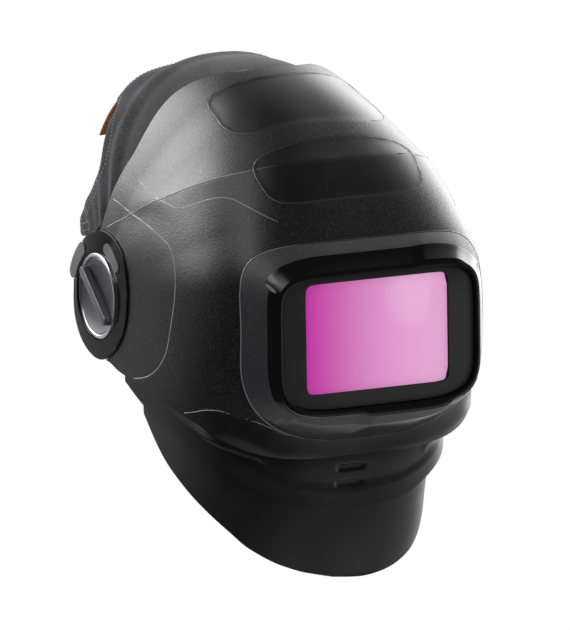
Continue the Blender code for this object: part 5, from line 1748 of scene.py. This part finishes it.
def band_pad(node, start, end, inner, outer, tall, line, channels):
    """Crowned cushion along the inside of a band, pulled in at its sewn channels."""
    c, s = square_circle(np.linspace(0, 2 * np.pi, 45), PAD_SQUARE)
    rows = []
    for share in np.linspace(0, 1, PAD_RINGS):
        turn = start + (end - start) * share
        taper = ramp(min(share, 1 - share), -0.02, 0.06)
        nearest = abs((share * channels) % 1 - 0.5)
        pulled = CHANNEL_DEEP * np.exp(-((nearest / CHANNEL_WIDE) ** 2))
        full = PAD_FULL * taper
        crown = (inner + outer) / 2 + (outer - inner) / 2 * c * np.where(c < 0, full * (1 - pulled), full)
        height = along(line, abs(turn if turn <= 180 else 360 - turn)) + tall / 2 * (0.8 + 0.2 * taper) * s
        rows.append(head_point(turn, crown, height))
    rows = np.array(rows)
    caps = rows.mean(1, keepdims=True).repeat(rows.shape[1], 1)
    pad = net(f"{node}_piece", np.concatenate([caps[:1], rows, caps[-1:]]) * MM)
    return finish_piece(smooth_shade(pad, 60), FOAM, [node])


band_pad("brow_pad", -42, 42, -6.35, -0.35, 26, BROW_LINE, 6)
band_pad("nape_pad", 150, 210, -7.55, -2.55, 22, NAPE_LINE, 4)
print("pads made")

# %% [markdown]
# **Ratchet and filter unit.** The ratchet's knob is soft rubber with flutes for wet gloves: a wavy outline
# pushed out, rounded and dished. The filter unit sits behind the opening, where its keys, batteries and
# sensors are small parts with moulded edges and their own finishes.

# %% Ratchet and filter unit
GRIP_REACH, GRIP_FLUTES, GRIP_CUT, DISH_STEPS = 16.8, 18, 0.75, 64
DISH = ((0, -4), (8.5, -4), (9.5, -1.6), (11, 0), (11, 4), (0, 4))
UNIT = {
    "filter_housing": MATT, "shutter_panel": GLOSS, "circuit_board": BOARD, "inner_cover_plate": CLEAR,
    "retaining_frame": GREY, "light_sensor_right": RED_LENS, "light_sensor_left": RED_LENS,
    "battery_holder_right": GREY, "battery_holder_left": GREY, "shade_button": KEYS,
    "sensitivity_button": KEYS, "mode_button": KEYS,
}


def make_ratchet_knob():
    low, high = (np.array(corner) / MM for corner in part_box("ratchet_knob"))
    turn = np.linspace(0, 2 * np.pi, 12 * GRIP_FLUTES, endpoint=False)
    reach = GRIP_REACH - GRIP_CUT * np.cos(turn * GRIP_FLUTES) ** 2
    middle = (low[2] + high[2]) / 2
    outline = np.stack([reach * np.cos(turn), middle + reach * np.sin(turn)], -1) * MM
    knob = prism("ratchet_knob_piece", outline, "Y", low[1] * MM, high[1] * MM, 1.1 * MM, 3)
    dish = turned("dish", DISH, DISH_STEPS)
    place = Matrix.Translation((0, high[1] * MM + 0.001, middle * MM))
    dish.data.transform(place @ Matrix.Rotation(math.radians(90), 4, "X"))
    edit(dish, face_out)
    cut(knob, dish)
    return finish_piece(smooth_shade(knob, 35), RUBBER, ["ratchet_knob"])


make_ratchet_knob()
for node, finish in UNIT.items():
    softened(node, finish, 0.25)
print("ratchet and", len(UNIT), "parts of the filter unit made")

# %% [markdown]
# **Floor and room.** The floor is a white disc that fades out at its rim, so that only a soft shadow shows.
# The camera sees a white room. Gloss would look flat in it, so mirrored rays see another one: a wall that
# brightens towards one side, and three soft glows. Matt surfaces are lit by a plain grey.

# %% Floor and room
FLOOR_DOWN, FLOOR_SIZE, FLOOR_FADE = -0.46, 1.1, (0.2, 0.55)
PLAIN_ROOM, DARK_WALL, WALL_TURN, WALL_END = (0.29, 0.29, 0.3), (0.05, 0.05, 0.055), (0, -20, -32), 0.55
GLOW = 9.0
GLOWS = (  # way, cosine where it begins, level
    ((-0.47, 0.72, 0.51), 0.845, 1.0), ((0.9, 0.35, 0.25), 0.8, 0.6), ((-0.46, -0.08, 0.88), 0.87, 0.25),
)


def make_floor():
    bpy.ops.mesh.primitive_plane_add(size=FLOOR_SIZE, location=(0, 0, FLOOR_DOWN))
    floor = bpy.context.active_object
    floor.name = "floor"
    white = Finish("floor_white", (0.9, 0.9, 0.9), 0.9)
    away = white.node("ShaderNodeVectorMath", {"operation": "LENGTH"}, {0: white.place()}, "Value")
    white.set("Alpha", 1 - away.step(*FLOOR_FADE))
    floor.data.materials.append(white.material)


def wall_colour(tree, way):
    """Wall that brightens towards one side, as a socket."""
    make, link = tree.nodes.new, tree.links.new
    turn, fade, ramped = make("ShaderNodeMapping"), make("ShaderNodeTexGradient"), make("ShaderNodeValToRGB")
    turn.inputs["Rotation"].default_value = [math.radians(angle) for angle in WALL_TURN]
    dark, bright = ramped.color_ramp.elements
    dark.position, bright.position = 0.0, WALL_END
    dark.color, bright.color = (*(level / GLOW for level in DARK_WALL), 1), (1 / GLOW, 1 / GLOW, 1 / GLOW, 1)
    link(way, turn.inputs["Vector"])
    link(turn.outputs[0], fade.inputs[0])
    link(fade.outputs["Fac"], ramped.inputs[0])
    return ramped.outputs[0]


def add_glow(tree, way, colour, glow_way, start, level):
    """One soft glow added to a colour."""
    make, link = tree.nodes.new, tree.links.new
    near, fade, total = make("ShaderNodeVectorMath"), make("ShaderNodeValToRGB"), make("ShaderNodeMixRGB")
    near.operation, total.blend_type = "DOT_PRODUCT", "ADD"
    near.inputs[1].default_value = Vector(glow_way).normalized()
    fade.color_ramp.interpolation = "EASE"
    fade.color_ramp.elements[0].position, fade.color_ramp.elements[1].color = start, (level, level, level, 1)
    total.inputs["Fac"].default_value = 1
    link(way, near.inputs[0])
    link(near.outputs["Value"], fade.inputs[0])
    link(colour, total.inputs["Color1"])
    link(fade.outputs[0], total.inputs["Color2"])
    return total.outputs[0]


def make_world():
    world = bpy.data.worlds.new("studio")
    bpy.context.scene.world = world
    world.use_nodes = True
    tree = world.node_tree
    make, link = tree.nodes.new, tree.links.new
    path, way = make("ShaderNodeLightPath"), make("ShaderNodeTexCoord").outputs["Generated"]
    mirrored, seen, either = make("ShaderNodeMixShader"), make("ShaderNodeMixShader"), make("ShaderNodeMath")
    room, white, plain = make("ShaderNodeBackground"), make("ShaderNodeBackground"), tree.nodes["Background"]
    white.inputs["Color"].default_value = (1, 1, 1, 1)
    plain.inputs["Color"].default_value = (*PLAIN_ROOM, 1)
    room.inputs["Strength"].default_value = GLOW
    either.operation = "MAXIMUM"
    colour = wall_colour(tree, way)
    for glow in GLOWS:
        colour = add_glow(tree, way, colour, *glow)
    for out, into in (
        (colour, room.inputs["Color"]),
        (path.outputs["Is Glossy Ray"], mirrored.inputs[0]), (plain.outputs[0], mirrored.inputs[1]),
        (room.outputs[0], mirrored.inputs[2]), (path.outputs["Is Camera Ray"], either.inputs[0]),
        (path.outputs["Is Transmission Ray"], either.inputs[1]), (either.outputs[0], seen.inputs[0]),
        (mirrored.outputs[0], seen.inputs[1]), (white.outputs[0], seen.inputs[2]),
        (seen.outputs[0], tree.nodes["World Output"].inputs["Surface"]),
    ):
        link(out, into)


make_floor()
make_world()
print("floor and room with", len(GLOWS), "glows")

# %% [markdown]
# **Camera and lamps.** The camera stands well back with a long lens, which keeps the sides nearly parallel.
# Two soft lamps stand behind the shield, one on each side, and draw its edges; they are hidden from
# mirrored rays, where the glows take their place. A weak one above the front opens the shadows.

# %% Camera and lamps
AIM, CAMERA_WAY = Vector((-0.0518, -0.1444, 0.0047)), Vector((-0.4925, -0.8504, 0.1853))
CAMERA_FAR, SENSOR, LENS = 8.0, 36, 693.5
LAMPS = (  # name, place, aim, width, height, power, seen in gloss
    ("left_back", (-0.74, 1.12, 0.72), (-0.06, -0.02, 0.06), 0.5, 0.85, 12, False),
    ("right_back", (1.35, 0.35, 0.1), (0, -0.05, 0), 0.7, 1.3, 14, False),
    ("front_fill", (-1.3, -1.3, 1.9), (0, -0.1, -0.02), 0.7, 0.7, 5, True),
)


def placed(name, data, place, aim):
    """Lamp or camera in the scene, turned to its aim."""
    obj = bpy.data.objects.new(name, data)
    bpy.context.scene.collection.objects.link(obj)
    obj.location = place
    obj.rotation_euler = (Vector(aim) - obj.location).to_track_quat("-Z", "Y").to_euler()
    return obj


def lamp(name, place, aim, wide, tall, power, in_gloss):
    made = bpy.data.lights.new(name, "AREA")
    made.shape, made.size, made.size_y, made.energy = "RECTANGLE", wide, tall, power
    placed(name, made, place, aim).visible_glossy = in_gloss


camera = bpy.data.cameras.new("camera")
camera.sensor_fit, camera.sensor_width, camera.lens = "AUTO", SENSOR, LENS
place = AIM + CAMERA_WAY.normalized() * CAMERA_FAR
bpy.context.scene.camera = placed("camera", camera, place, AIM)
bpy.context.scene.view_settings.view_transform = "Standard"
for settings in LAMPS:
    lamp(*settings)
print("camera and", len(LAMPS), "lamps are set")
